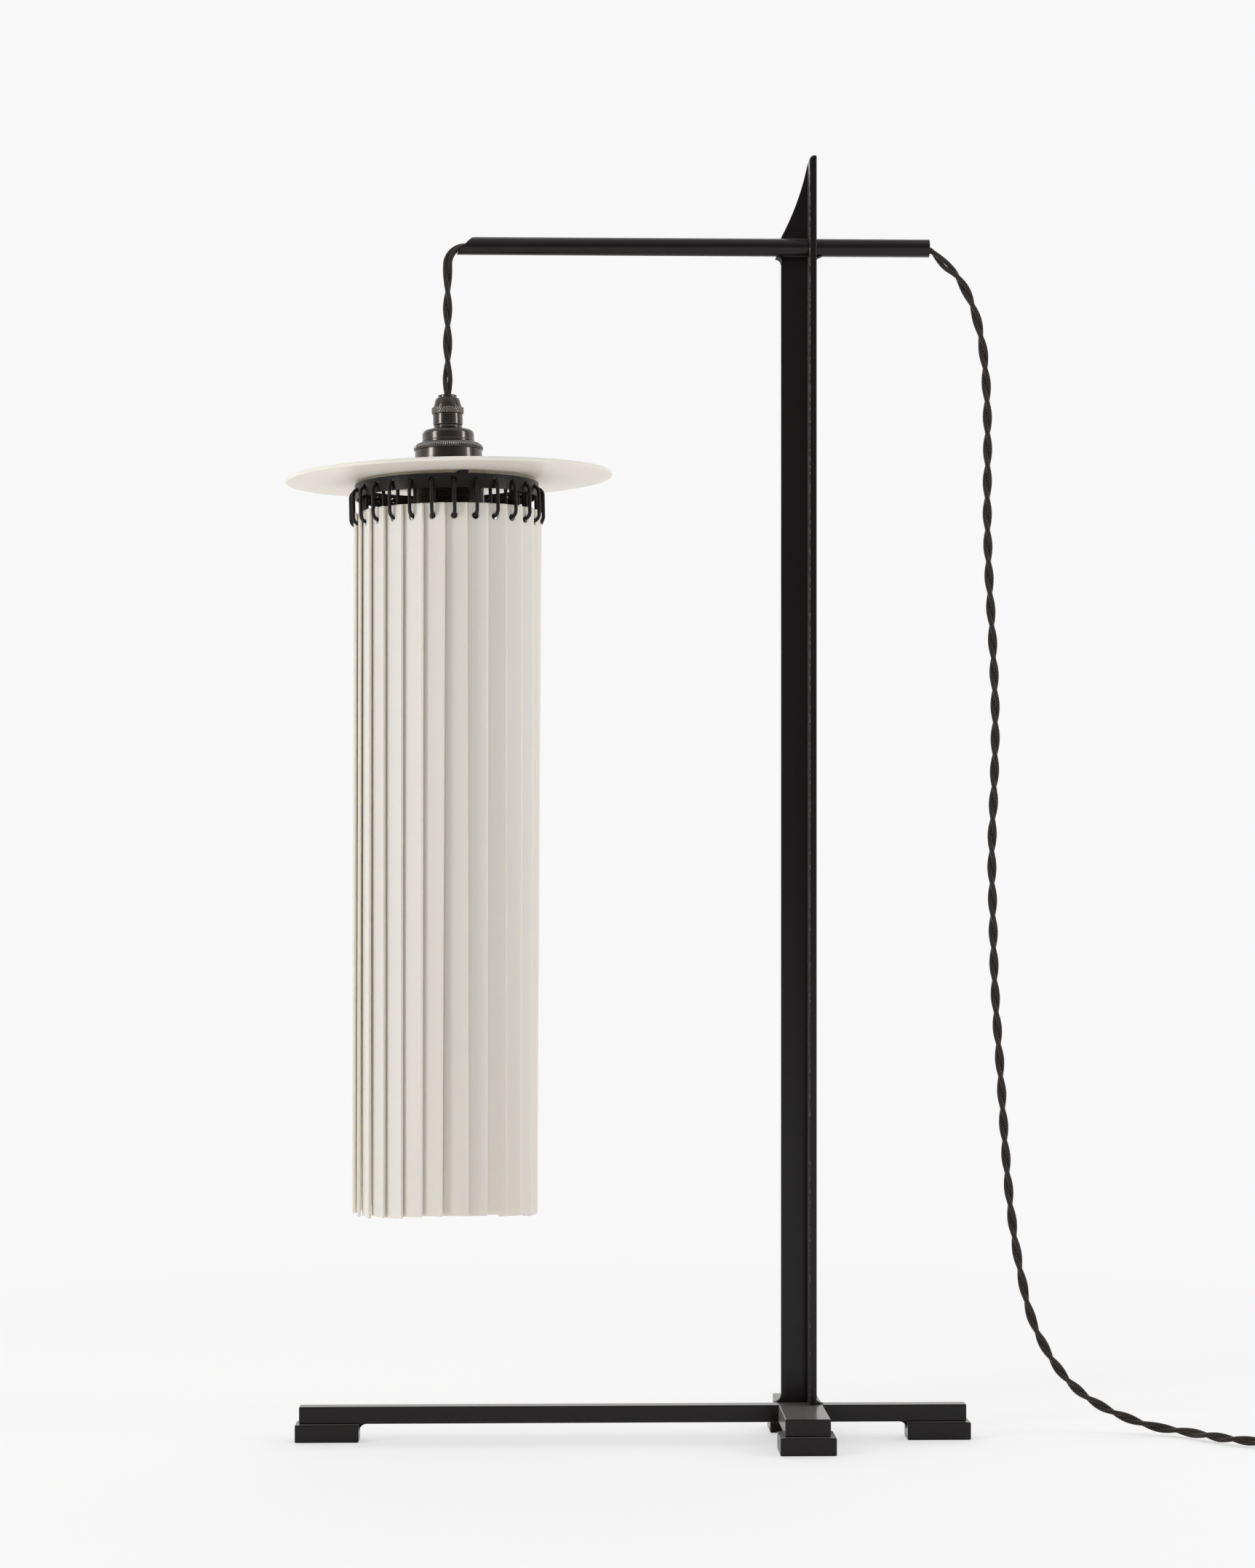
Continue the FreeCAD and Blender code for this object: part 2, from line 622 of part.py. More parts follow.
    return {
        "cord_grip_nut": nut,
        "cord_grip_nipple": nipple,
        "holder_cap": cap,
        "knurled_ring": ring,
        "holder_shell": shell,
        "threaded_skirt": skirt,
        "insulator_core": core,
        "bulb_contacts": Part.makeCompound([sleeve, pin]),
        "bulb_cap": bulb_cap,
        "bulb_glass": bulb_glass(bulb_cap_bottom),
    }


def bulb_glass(top):
    """A pear bulb: a cone that flares from the neck, tangent to the round end, with an even wall."""
    centre = top - BULB_NECK_LENGTH - BULB_RADIUS / 2

    def outline(neck, radius):
        away = math.hypot(neck, top - centre)
        angle = math.atan2(top - centre, neck) - math.acos(radius / away)
        touch = V(radius * math.cos(angle), 0, centre + radius * math.sin(angle))
        side = V(radius * math.cos(angle / 2 - math.pi / 4), 0, centre + radius * math.sin(angle / 2 - math.pi / 4))
        bottom = V(0, 0, centre - radius)
        return face([
            line(V(0, 0, top), V(neck, 0, top)),
            line(V(neck, 0, top), touch),
            arc(touch, side, bottom),
            line(bottom, V(0, 0, top)),
        ])

    outer = outline(BULB_NECK_RADIUS, BULB_RADIUS).revolve(V(), Z_AXIS, 360)
    inner = outline(BULB_NECK_RADIUS - BULB_WALL, BULB_RADIUS - BULB_WALL).revolve(V(), Z_AXIS, 360)
    glass = outer.cut(inner)
    glass.translate(V(SHADE_X, 0, 0))
    return glass


def shade_carrier():
    hole = NECK_RADIUS + FREE_GAP
    flat = DISC_RADIUS - RIM_ROUND
    centre = V(SHADE_X, 0, 0)
    rim = DISC_TOP - RIM_ROUND
    section = face([
        line(V(hole, 0, DISC_BOTTOM), V(flat, 0, DISC_BOTTOM)),
        arc(V(flat, 0, DISC_BOTTOM), V(DISC_RADIUS, 0, rim), V(flat, 0, DISC_TOP)),
        line(V(flat, 0, DISC_TOP), V(hole, 0, DISC_TOP)),
        line(V(hole, 0, DISC_TOP), V(hole, 0, DISC_BOTTOM)),
    ])
    section.translate(centre)
    disc = section.revolve(centre, Z_AXIS, 360)
    tab_outer = HOOP_INNER - WELD_GAP
    tab_inner = tab_outer - SPIDER_THICKNESS
    tab_bottom = HOOP_TOP - TAB_DROP
    spider = turned([
        (hole, SPIDER_BOTTOM),
        (SPIDER_RADIUS, SPIDER_BOTTOM),
        (SPIDER_RADIUS, DISC_BOTTOM),
        (hole, DISC_BOTTOM),
    ])
    flat_ring = cylinder(tab_outer, SPIDER_THICKNESS, V(SHADE_X, 0, SPIDER_BOTTOM), Z_AXIS)
    tab_ring = turned([
        (tab_inner, tab_bottom),
        (tab_outer, tab_bottom),
        (tab_outer, DISC_BOTTOM),
        (tab_inner, DISC_BOTTOM),
    ])
    for i in range(SPOKES):
        angle = FIRST_STRIP_ANGLE + STRIP_PITCH * (0.5 + round(i * STRIPS / SPOKES))
        half = SPOKE_WIDTH / 2
        arm_box = box(SHADE_X + NECK_RADIUS + FREE_GAP + half, SHADE_X + HOOP_RADIUS, -half, half, tab_bottom, DISC_BOTTOM)
        arm_box.rotate(centre, Z_AXIS, angle)
        spoke = arm_box.common(flat_ring).fuse(arm_box.common(tab_ring))
        spoke.translate(HOOP_SHIFT * -1)
        spider = spider.fuse(spoke)
    hoop = turned([
        (HOOP_INNER, HOOP_BOTTOM),
        (HOOP_RADIUS, HOOP_BOTTOM),
        (HOOP_RADIUS, HOOP_TOP),
        (HOOP_INNER, HOOP_TOP),
    ])
    drill = cylinder(HOOP_HOLE / 2, 3 * HOOP_WALL, V(SHADE_X + HOOP_INNER - HOOP_WALL, 0, HOOP_HOLE_Z), X_AXIS)
    hoop = hoop.cut(Part.makeCompound(ring_of(drill)))
    hooks = Part.makeCompound(ring_of(hook_loop()))
    hoop.translate(HOOP_SHIFT * -1)
    hooks.translate(HOOP_SHIFT * -1)
    return {
        "porcelain_disc": disc,
        "spider": spider.removeSplitter(),
        "hoop": hoop,
        "hook_loops": hooks,
    }


def ring_of(shape):
    """Copies of a shape at each strip's place round the shade's axis."""
    copies = []
    for i in range(STRIPS):
        copy = shape.copy()
        copy.rotate(V(SHADE_X, 0, 0), Z_AXIS, strip_angle(i))
        copies.append(copy)
    return copies


def strip_angle(i):
    return FIRST_STRIP_ANGLE + i * STRIP_PITCH


def hook_loop():
    """A long wire link in a radial plane: two straight legs and two round ends."""
    middle = SHADE_X + STRIP_RADIUS
    upper = HOOK_TOP - HOOK_HALF_WIDTH
    lower = HOOK_BOTTOM + HOOK_HALF_WIDTH
    outer_section = face([Part.makeCircle(WIRE_RADIUS, V(middle + HOOK_HALF_WIDTH, 0, lower), Z_AXIS)])
    inner_section = face([Part.makeCircle(WIRE_RADIUS, V(middle - HOOK_HALF_WIDTH, 0, lower), Z_AXIS)])
    legs = [s.extrude(Z_AXIS * (upper - lower)) for s in (outer_section, inner_section)]
    foot = outer_section.revolve(V(middle, 0, lower), Y_AXIS, 180)
    crown = inner_section.copy()
    crown.translate(Z_AXIS * (upper - lower))
    crown = crown.revolve(V(middle, 0, upper), Y_AXIS, 180)
    return legs[0].fuse([legs[1], foot, crown]).removeSplitter()


def strip_length(i):
    """The strips at the shade's sides are longer than those in front, and each is a little uneven."""
    sideways = math.sin(math.radians(strip_angle(i) - SHORTEST_STRIP_ANGLE))
    return STRIP_LENGTH + STRIP_SIDES_LONGER * sideways ** 2 + STRIP_UNEVEN * math.sin(STRIP_WAVE * i)


def strip_hinge(i):
    """Where strip i hangs on its hook, and the level direction that it swings about."""
    angle = math.radians(strip_angle(i))
    point = V(SHADE_X + STRIP_RADIUS * math.cos(angle), STRIP_RADIUS * math.sin(angle), HOOK_BOTTOM)
    arm_vector = point - HOOP_SHIFT - TURN_PIVOT
    level = V(
        arm_vector.x * math.cos(TILT) - arm_vector.z * math.sin(TILT),
        arm_vector.y,
        arm_vector.x * math.sin(TILT) + arm_vector.z * math.cos(TILT),
    )
    return TURN_PIVOT + level, V(math.sin(angle), -math.cos(angle), 0)


def strips():
    half_t = STRIP_THICKNESS / 2
    half_w = STRIP_WIDTH / 2
    hole_z = WIRE_RADIUS + HANG_GAP - STRIP_HOLE / 2
    top = hole_z + STRIP_HOLE_DOWN
    hole = cylinder(STRIP_HOLE / 2, 2 * STRIP_THICKNESS, V(-STRIP_THICKNESS, 0, hole_z), X_AXIS)
    made = {}
    for i in range(STRIPS):
        slat = box(-half_t, half_t, -half_w, half_w, top - strip_length(i), top)
        upright = [e for e in slat.Edges if abs(e.tangentAt(e.FirstParameter).z) > 0.5]
        slat = slat.makeFillet(STRIP_ROUND, upright).cut(hole)
        slat.rotate(V(), Z_AXIS, strip_angle(i) - STRIP_TURN)
        slat.translate(strip_hinge(i)[0])
        made["strip_%02d" % (i + 1)] = slat
    return made


def lead():
    stretch = (CORD_Z - LEAD_Z) / (LEAD_EXIT - LEAD_Z)
    leaves = [(ARM_RIGHT, 0.0, CORD_Z), (ARM_RIGHT + LEAD_START, 0.0, CORD_Z)]
    hangs = [(x, y, LEAD_Z + (z - LEAD_Z) * stretch) for x, y, z in LEAD_HANGS]
    points = [V(POST_X + x, y, z) for x, y, z in leaves + hangs + LEAD_LIES]
    edges, radii = route_edges(points)
    solid, length, ratio = tube(edges, CORD_RADIUS)
    print("lead: length %.1f, volume ratio %.4f" % (length, ratio))
    print("lead radii:", " ".join("%.0f" % r for r in radii))
    return {"mains_lead": solid}


def coil_point(angle):
    """The coil spirals in on the table, climbs a layer in its half turn, and spirals out on top."""
    end = 2 * math.pi * COIL_TURNS
    away = math.sqrt((angle - end / 2) ** 2 + COIL_EASE ** 2)
    full = math.sqrt((end / 2) ** 2 + COIL_EASE ** 2)
    radius = COIL_RADIUS - COIL_STEP * (full - away) / (2 * math.pi)
    climb = min(max((angle - end / 2) / math.pi + 0.5, 0), 1)
    height = COIL_LIFT + CORD_RADIUS + COIL_STEP * climb * climb * (3 - 2 * climb)
    return V(POST_X + COIL_X + radius * math.cos(angle), COIL_Y + radius * math.sin(angle), height)


def coil_tangent(angle):
    step = 1e-5
    return (coil_point(angle + step) - coil_point(angle - step)).normalize()


def coil_edges():
    """From the switch into the coil, round its turns by quarter-turn biarcs, and out to the plug."""
    switch_end = V(POST_X + SWITCH_LEFT + SWITCH_LENGTH, SWITCH_Y, SWITCH_Z)
    leave = switch_end + X_AXIS * CORD_DIAMETER
    angles = [i * math.pi / 2 for i in range(4 * COIL_TURNS + 1)]
    nodes = [(coil_point(a), coil_tangent(a)) for a in angles]
    first = nodes[0][0] - nodes[0][1] * COIL_RADIUS
    last = nodes[-1][0]
    nose = V(last.x, last.y + PLUG_GAP, PLUG_HEIGHT)
    nodes = [(leave, X_AXIS), (first, nodes[0][1])] + nodes + [(nose, Y_AXIS)]
    edges = [line(switch_end, leave)]
    for (p0, t0), (p1, t1) in zip(nodes, nodes[1:]):
        edges += biarc(p0, t0, p1, t1)
    edges.append(line(nose, nose + Y_AXIS * CORD_DIAMETER))
    return edges, nose + Y_AXIS * CORD_DIAMETER


def least_gap(edges):
    """The coil's least distance to itself, surface to surface, on points along its path."""
    points = []
    run = 0.0
    for edge in edges:
        count = max(2, int(edge.Length))
        span = edge.LastParameter - edge.FirstParameter
        for k in range(count):
            points.append((run + edge.Length * k / count, edge.valueAt(edge.FirstParameter + span * k / count)))
        run += edge.Length
    clear = 3 * CORD_DIAMETER
    return min(p.distanceToPoint(q) for s, p in points for t, q in points if t - s > clear) - CORD_DIAMETER


def coil():
    edges, nose = coil_edges()
    solid, length, ratio = tube(edges, CORD_RADIUS)
    print("coil: length %.1f, volume ratio %.4f, least gap %.2f" % (length, ratio, least_gap(edges)))
    half_turn = math.pi
    inner = COIL_RADIUS
    outer = 0.0
    for turn in range(COIL_TURNS):
        spot = coil_point(half_turn + 2 * math.pi * turn)
        reach = math.hypot(spot.x - POST_X - COIL_X, spot.y - COIL_Y)
        inner = min(inner, reach)
        outer = max(outer, reach)
    around = CORD_RADIUS + TIE_GAP
    x0 = POST_X + COIL_X - outer - around
    x1 = POST_X + COIL_X - inner + around
    z0 = COIL_LIFT - FREE_GAP
    z1 = COIL_LIFT + COIL_STEP + CORD_DIAMETER + TIE_GAP
    y0 = COIL_Y - TIE_WIDTH / 2
    y1 = COIL_Y + TIE_WIDTH / 2
    t = TIE_THICKNESS
    tie = box(x0 - t, x1 + t, y0, y1, z0 - t, z1 + t).cut(box(x0, x1, y0, y1, z0, z1))
    return {"cord_coil": solid, "coil_tie": tie}, nose


def plug(nose):
    """A flat two-pin plug that lies beside the coil, with a tapered nose where the cord enters."""
    back = nose.y + PLUG_NOSE
    front = back + PLUG_LENGTH
    half_w = PLUG_WIDTH / 2
    half_t = PLUG_THICKNESS / 2
    body = box(nose.x - half_w, nose.x + half_w, back, front, nose.z - half_t, nose.z + half_t)
    body = body.makeFillet(half_t / 2, [e for e in body.Edges if abs(e.tangentAt(e.FirstParameter).y) > 0.5])
    taper = Part.makeCone(PLUG_NOSE_RADIUS, half_t - BAR_ROUND, PLUG_NOSE, nose, Y_AXIS)
    pins = []
    for side in (-1, 1):
        root = V(nose.x + side * PIN_SPACING / 2, front, nose.z)
        pin = cylinder(PIN_DIAMETER / 2, PIN_LENGTH, root, Y_AXIS)
        pins.append(pin.makeFillet(PIN_DIAMETER / 4, [e for e in pin.Edges if e.CenterOfMass.y > front + PIN_LENGTH / 2]))
    return {"plug_body": body.fuse(taper).removeSplitter(), "plug_pins": Part.makeCompound(pins)}


def switch():
    """An inline switch: two case halves that meet at the cord, and a rocker on stub axles in the cover."""
    x0 = POST_X + SWITCH_LEFT
    x1 = x0 + SWITCH_LENGTH
    y0 = SWITCH_Y - SWITCH_WIDTH / 2
    y1 = SWITCH_Y + SWITCH_WIDTH / 2
    top = TABLE_GAP + SWITCH_HEIGHT
    middle_x = (x0 + x1) / 2
    case = box(x0, x1, y0, y1, TABLE_GAP, top)
    case = case.makeFillet(SWITCH_END_ROUND, [e for e in case.Edges if abs(e.tangentAt(e.FirstParameter).z) > 0.5])
    reach = ROCKER_RADIUS + 2 * FREE_GAP
    half = ROCKER_WIDTH / 2
    well = half + FREE_GAP
    pivot_z = top - ROCKER_AXLE_RADIUS - SWITCH_WALL
    pivot = V(middle_x, SWITCH_Y, pivot_z)
    room = box(middle_x - reach, middle_x + reach, SWITCH_Y - well, SWITCH_Y + well, TABLE_GAP + SWITCH_WALL, top + 1)
    axle_half = half + ROCKER_AXLE_LENGTH
    socket_half = axle_half + FREE_GAP
    socket = cylinder(
        ROCKER_AXLE_RADIUS + RUN_GAP, 2 * socket_half, pivot - Y_AXIS * socket_half, Y_AXIS
    )
    hollow = case.cut(room.fuse(socket))
    below = box(x0, x1, y0, y1, TABLE_GAP, SWITCH_Z)
    above = box(x0, x1, y0, y1, SWITCH_Z, top)
    drum = cylinder(ROCKER_RADIUS, ROCKER_WIDTH, pivot - Y_AXIS * half, Y_AXIS)
    rise = ROCKER_RADIUS * math.tan(math.radians(ROCKER_TILT))
    ridge = top + FREE_GAP - pivot_z
    far = 2 * ROCKER_RADIUS
    profile = polygon([
        pivot + V(-far, -half, -ROCKER_DEPTH),
        pivot + V(far, -half, -ROCKER_DEPTH),
        pivot + V(far, -half, ridge + 2 * rise),
        pivot + V(0, -half, ridge),
        pivot + V(-far, -half, ridge + 2 * rise),
    ]).extrude(Y_AXIS * ROCKER_WIDTH)
    axle = cylinder(ROCKER_AXLE_RADIUS, 2 * axle_half, pivot - Y_AXIS * axle_half, Y_AXIS)
    rocker = drum.common(profile).fuse(axle).removeSplitter()
    rocker.rotate(pivot, Y_AXIS, -ROCKER_TILT)
    return {
        "switch_base": hollow.common(below),
        "switch_cover": hollow.common(above),
        "switch_rocker": rocker,
    }, pivot


def build():
    parts = {}
    parts.update(base_bars())
    parts.update(feet())
    parts.update(post())
    parts.update(arm())
    parts.update(welds())
    parts.update(inner_cord())
    head = {**lampholder(), **shade_carrier()}
    parts.update({name: tilted(shape) for name, shape in head.items()})
    parts.update(strips())
    parts.update(lead())
    coil_parts, nose = coil()
    parts.update(coil_parts)
    parts.update(plug(nose))
    switch_parts, rocker_pivot = switch()
    parts.update(switch_parts)
    return parts, rocker_pivot


PARTS, ROCKER_PIVOT = build()
os.makedirs("parts", exist_ok=True)
for name, shape in PARTS.items():
    shape.exportStep("parts/%s.step" % name)
    if not shape.isValid():
        print("not valid:", name)
print("nodes:", len(PARTS))
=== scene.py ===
import bpy
import bmesh
import math
import numpy as np
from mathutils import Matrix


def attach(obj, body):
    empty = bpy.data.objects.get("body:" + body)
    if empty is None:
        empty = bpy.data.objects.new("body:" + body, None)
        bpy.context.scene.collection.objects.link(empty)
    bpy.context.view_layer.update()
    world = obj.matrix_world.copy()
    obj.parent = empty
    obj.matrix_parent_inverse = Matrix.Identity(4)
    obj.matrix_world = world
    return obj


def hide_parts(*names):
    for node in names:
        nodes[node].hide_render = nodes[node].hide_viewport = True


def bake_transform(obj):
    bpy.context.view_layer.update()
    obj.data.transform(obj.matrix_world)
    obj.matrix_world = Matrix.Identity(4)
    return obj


# Porcelain table lamp. Sizes below are millimetres in the lamp's own frame: +Z up, front towards -Y.
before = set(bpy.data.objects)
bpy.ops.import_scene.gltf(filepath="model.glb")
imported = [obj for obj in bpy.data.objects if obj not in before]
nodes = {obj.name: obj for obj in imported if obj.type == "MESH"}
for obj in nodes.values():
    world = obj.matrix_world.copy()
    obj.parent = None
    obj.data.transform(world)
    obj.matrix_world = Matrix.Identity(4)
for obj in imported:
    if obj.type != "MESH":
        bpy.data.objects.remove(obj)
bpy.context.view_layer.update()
mm = 0.001
fullTurn = 2 * math.pi
xAxis, yAxis, zAxis = np.eye(3)
print("frame loaded:", len(nodes), "pieces of CAD")

places = {
    "postX": 100.46,         # middle of the post's foot
    "shadeX": -105.24,       # the flex hangs here
    "armZ": 696.0,
    "armEnd": 176.16,
    "cordZ": 695.2,          # middle of the flex inside the arm
    "gripZ": 603.25,         # the head tips about the middle of its cord grip
    "tip": math.radians(1.15),
}
postX, shadeX, cordZ = places["postX"], places["shadeX"], places["cordZ"]


# a new object from its data, put in the scene
def addObject(name, data):
    obj = bpy.data.objects.new(name, data)
    bpy.context.scene.collection.objects.link(obj)
    return obj


# camera: level, turned a little to the right, raised by shift; its place is in metres
viewpoint = {
    "lens": 73.416, "sensor": 36.0, "shift": 0.07417, "farthest": 50,
    "place": (-0.05264, -1.8661, 0.3145), "turn": -0.028,
}
cameraData = bpy.data.cameras.new("camera")
cameraData.lens = viewpoint["lens"]
cameraData.sensor_width = viewpoint["sensor"]
cameraData.shift_y = viewpoint["shift"]
cameraData.clip_end = viewpoint["farthest"]
camera = addObject("camera", cameraData)
camera.location = viewpoint["place"]
camera.rotation_euler = (math.pi / 2, 0, viewpoint["turn"])
bpy.context.scene.camera = camera
print("camera placed")


# a new node, with its operation and some of its inputs set
def addNode(tree, kind, inputs=None, operation=None):
    node = tree.nodes.new("ShaderNode" + kind)
    if operation:
        node.operation = operation
    for socket, value in (inputs or {}).items():
        node.inputs[socket].default_value = value
    return node


# one Math node on sockets and plain numbers, and its result
def combine(tree, operation, *terms):
    node = addNode(tree, "Math", operation=operation)
    for socket, term in zip(node.inputs, terms):
        if isinstance(term, (int, float)):
            socket.default_value = term
        else:
            tree.links.new(term, socket)
    return node.outputs[0]


# a value eased from 0 to 1 between two limits
def easeBetween(tree, value, low, high):
    node = addNode(tree, "MapRange", {"From Min": low, "From Max": high})
    node.interpolation_type = "SMOOTHSTEP"
    tree.links.new(value, node.inputs["Value"])
    return node.outputs["Result"]


# an attribute of the piece's points, as the finish reads it
def readAttribute(tree, name):
    node = addNode(tree, "Attribute")
    node.attribute_name = name
    return node.outputs["Fac"]


# fine grain: noise on Object coordinates, stretched by the given counts a metre, drives a bump
def addGrain(tree, shader, counts, strength, depth):
    coords = addNode(tree, "TexCoord")
    stretch = addNode(tree, "Mapping", {"Scale": counts})
    noise = addNode(tree, "TexNoise", {"Scale": 1.0, "Detail": 3.0})
    bump = addNode(tree, "Bump", {"Strength": strength, "Distance": depth})
    tree.links.new(coords.outputs["Object"], stretch.inputs["Vector"])
    tree.links.new(stretch.outputs["Vector"], noise.inputs["Vector"])
    tree.links.new(noise.outputs["Fac"], bump.inputs["Height"])
    tree.links.new(bump.outputs["Normal"], shader.inputs["Normal"])
    return noise.outputs["Fac"]


# tones: a ramp from the look's colour to its second tone, over a span of the driver, gives the base colour
def addTones(tree, shader, driver, look):
    ramp = addNode(tree, "ValToRGB")
    stops = zip(ramp.color_ramp.elements, look["span"], (look["colour"], look["tone"]))
    for stop, position, colour in stops:
        stop.position = position
        stop.color = (*colour, 1)
    tree.links.new(driver, ramp.inputs["Fac"])
    tree.links.new(ramp.outputs["Color"], shader.inputs["Base Color"])


finishes = {}


# every finish starts from one plain shader, with the look's colour, gloss and other inputs
def newFinish(name, look):
    material = bpy.data.materials.new(name)
    material.use_nodes = True
    tree = material.node_tree
    shader = tree.nodes["Principled BSDF"]
    shader.inputs["Base Color"].default_value = (*look["colour"], 1)
    shader.inputs["Roughness"].default_value = look["rough"]
    shader.inputs["Metallic"].default_value = look.get("metal", 0.0)
    shader.inputs["Specular IOR Level"].default_value = look.get("specular", 0.5)
    for socket, value in look.get("more", {}).items():
        shader.inputs[socket].default_value = value
    finishes[name] = material
    return tree, shader


# powder coat: glossy black; where the edge attribute is set, patches of noise paint a pale highlight, which
# also stands for scuffed metal; a grain is its counts a metre, its strength and its depth in metres
coat = {
    # its tone is the pale grey of that painted highlight
    "colour": (0.0095, 0.0074, 0.0072), "tone": (0.42, 0.41, 0.42), "span": (0.36, 0.56),
    "rough": 0.22, "specular": 0.27, "grain": ((1400, 1400, 1400), 0.2, 0.00005), "patches": 420.0,
    "more": {"Sheen Weight": 0.26, "Sheen Tint": (1.0, 0.95, 0.91, 1), "Sheen Roughness": 0.3},
}
tree, shader = newFinish("powderCoat", coat)
addGrain(tree, shader, *coat["grain"])
coords = addNode(tree, "TexCoord")
patches = addNode(tree, "TexNoise", {"Scale": coat["patches"]})
tree.links.new(coords.outputs["Object"], patches.inputs["Vector"])
# painted highlight: the noise patches times the edge attribute
glintAndWear = combine(tree, "MULTIPLY", patches.outputs["Fac"], readAttribute(tree, "wearAndHighlight"))
addTones(tree, shader, glintAndWear, coat)

# porcelain: a little light passes through it, and each strip has its own tone
clay = {
    "colour": (0.835, 0.793, 0.73), "tone": (0.81, 0.762, 0.692), "span": (0.0, 1.0),
    "rough": 0.42, "specular": 0.4, "grain": ((160, 160, 30), 0.2, 0.0003),
    "more": {"Subsurface Weight": 0.5, "Subsurface Radius": (1.0, 0.8, 0.5), "Subsurface Scale": 0.0045},
}
tree, shader = newFinish("porcelain", clay)
addGrain(tree, shader, *clay["grain"])
addTones(tree, shader, readAttribute(tree, "tone"), clay)

# bronze: the grain spreads its roughness, and the crest attribute paints the knurls' crests pale, as painted
# glints that also stand for wear
brown = {
    # its tone is the pale colour of the painted glints on the crests
    "colour": (0.104, 0.094, 0.089), "tone": (0.62, 0.58, 0.53), "span": (0.0, 1.0),
    "rough": 0.14, "roughest": 0.25, "metal": 1.0, "grain": ((300, 300, 300), 0.15, 0.00008),
}
tree, shader = newFinish("bronze", brown)
grain = addGrain(tree, shader, *brown["grain"])
spread = addNode(tree, "MapRange", {"To Min": brown["rough"], "To Max": brown["roughest"]})
tree.links.new(grain, spread.inputs["Value"])
tree.links.new(spread.outputs["Result"], shader.inputs["Roughness"])
# painted glints: the crest attribute ramps the colour to the pale tone
addTones(tree, shader, readAttribute(tree, "wearAndHighlight"), brown)

# braided sleeve: two sets of slanting threads on the strand's own UV map, the higher one on top; painted
# shade darkens the hollows between threads
sleeve = {
    "colour": (0.006, 0.0045, 0.004), "tone": (0.045, 0.034, 0.028), "span": (0.35, 1.0),
    "rough": 0.62, "specular": 0.3, "threads": 5.0, "pitch": 1.9, "strength": 0.9, "depth": 0.0002,
    "more": {"Sheen Weight": 0.3, "Sheen Tint": (0.8, 0.7, 0.62, 1), "Sheen Roughness": 0.4},
}
tree, shader = newFinish("braid", sleeve)
uvMap = addNode(tree, "UVMap")
parts = addNode(tree, "SeparateXYZ")
tree.links.new(uvMap.outputs["UV"], parts.inputs["Vector"])
slants = []
for slant in (1.0, -1.0):
    around = combine(tree, "MULTIPLY", parts.outputs["X"], sleeve["threads"] * fullTurn)
    along = combine(tree, "MULTIPLY_ADD", parts.outputs["Y"], slant * fullTurn / sleeve["pitch"], around)
    slants.append(combine(tree, "SINE", along))
higher = combine(tree, "MAXIMUM", *slants)
bump = addNode(tree, "Bump", {"Strength": sleeve["strength"], "Distance": sleeve["depth"]})
tree.links.new(higher, bump.inputs["Height"])
tree.links.new(bump.outputs["Normal"], shader.inputs["Normal"])
# painted shade: the thread height ramps the colour from dark hollows to lighter crests
addTones(tree, shader, higher, sleeve)

plainLooks = {
    "weldCoat": {
        "colour": (0.009, 0.0075, 0.007), "rough": 0.6, "specular": 0.12,
        "grain": ((1400, 1400, 1400), 0.3, 0.00008),
    },
    "blackSteel": {
        "colour": (0.0085, 0.0066, 0.006), "rough": 0.34, "specular": 0.24,
        "grain": ((900, 900, 900), 0.15, 0.00005),
    },
    "blackPlastic": {
        "colour": (0.012, 0.012, 0.012), "rough": 0.35, "grain": ((1100, 1100, 1100), 0.15, 0.00005),
    },
    "phenolic": {"colour": (0.03, 0.02, 0.016), "rough": 0.4},
    "contactBrass": {"colour": (0.72, 0.52, 0.25), "rough": 0.3, "metal": 1.0},
    "nickel": {"colour": (0.66, 0.63, 0.58), "rough": 0.25, "metal": 1.0},
    "opalGlass": {"colour": (0.86, 0.85, 0.82), "rough": 0.25},
    "tieBand": {"colour": (0.012, 0.012, 0.012), "rough": 0.55},
}
for name, look in plainLooks.items():
    tree, shader = newFinish(name, look)
    if "grain" in look:
        addGrain(tree, shader, *look["grain"])
print("finishes mixed:", len(finishes))


# angles evenly round a circle
def roundAngles(count):
    return np.linspace(0, fullTurn, count, endpoint=False)


# vectors of length one: each is divided by its length
def unit(vectors):
    return vectors / np.linalg.norm(vectors, axis=-1, keepdims=True)


# grid faces: each cell of a grid is one quad; the last column joins the first, and the last row may too
def gridQuads(rows, columns, joinRows=False):
    i, j = np.meshgrid(np.arange(rows if joinRows else rows - 1), np.arange(columns), indexing="ij")
    below, beside = (i + 1) % rows, (j + 1) % columns
    corners = [i * columns + j, i * columns + beside, below * columns + beside, below * columns + j]
    return np.stack(corners, -1).reshape(-1, 4)


# end faces: the first and the last row of such a grid, whose points count from the given number
def endFaces(rows, columns, first=0):
    last = first + (rows - 1) * columns
    return [list(range(first, first + columns)), list(range(last, last + columns))]


# smooth shading, with a crisp line where faces meet at more than the angle
def smoothUpTo(mesh, crisp):
    mesh.polygons.foreach_set("use_smooth", np.ones(len(mesh.polygons), bool))
    mesh.set_sharp_from_angle(angle=math.radians(crisp))


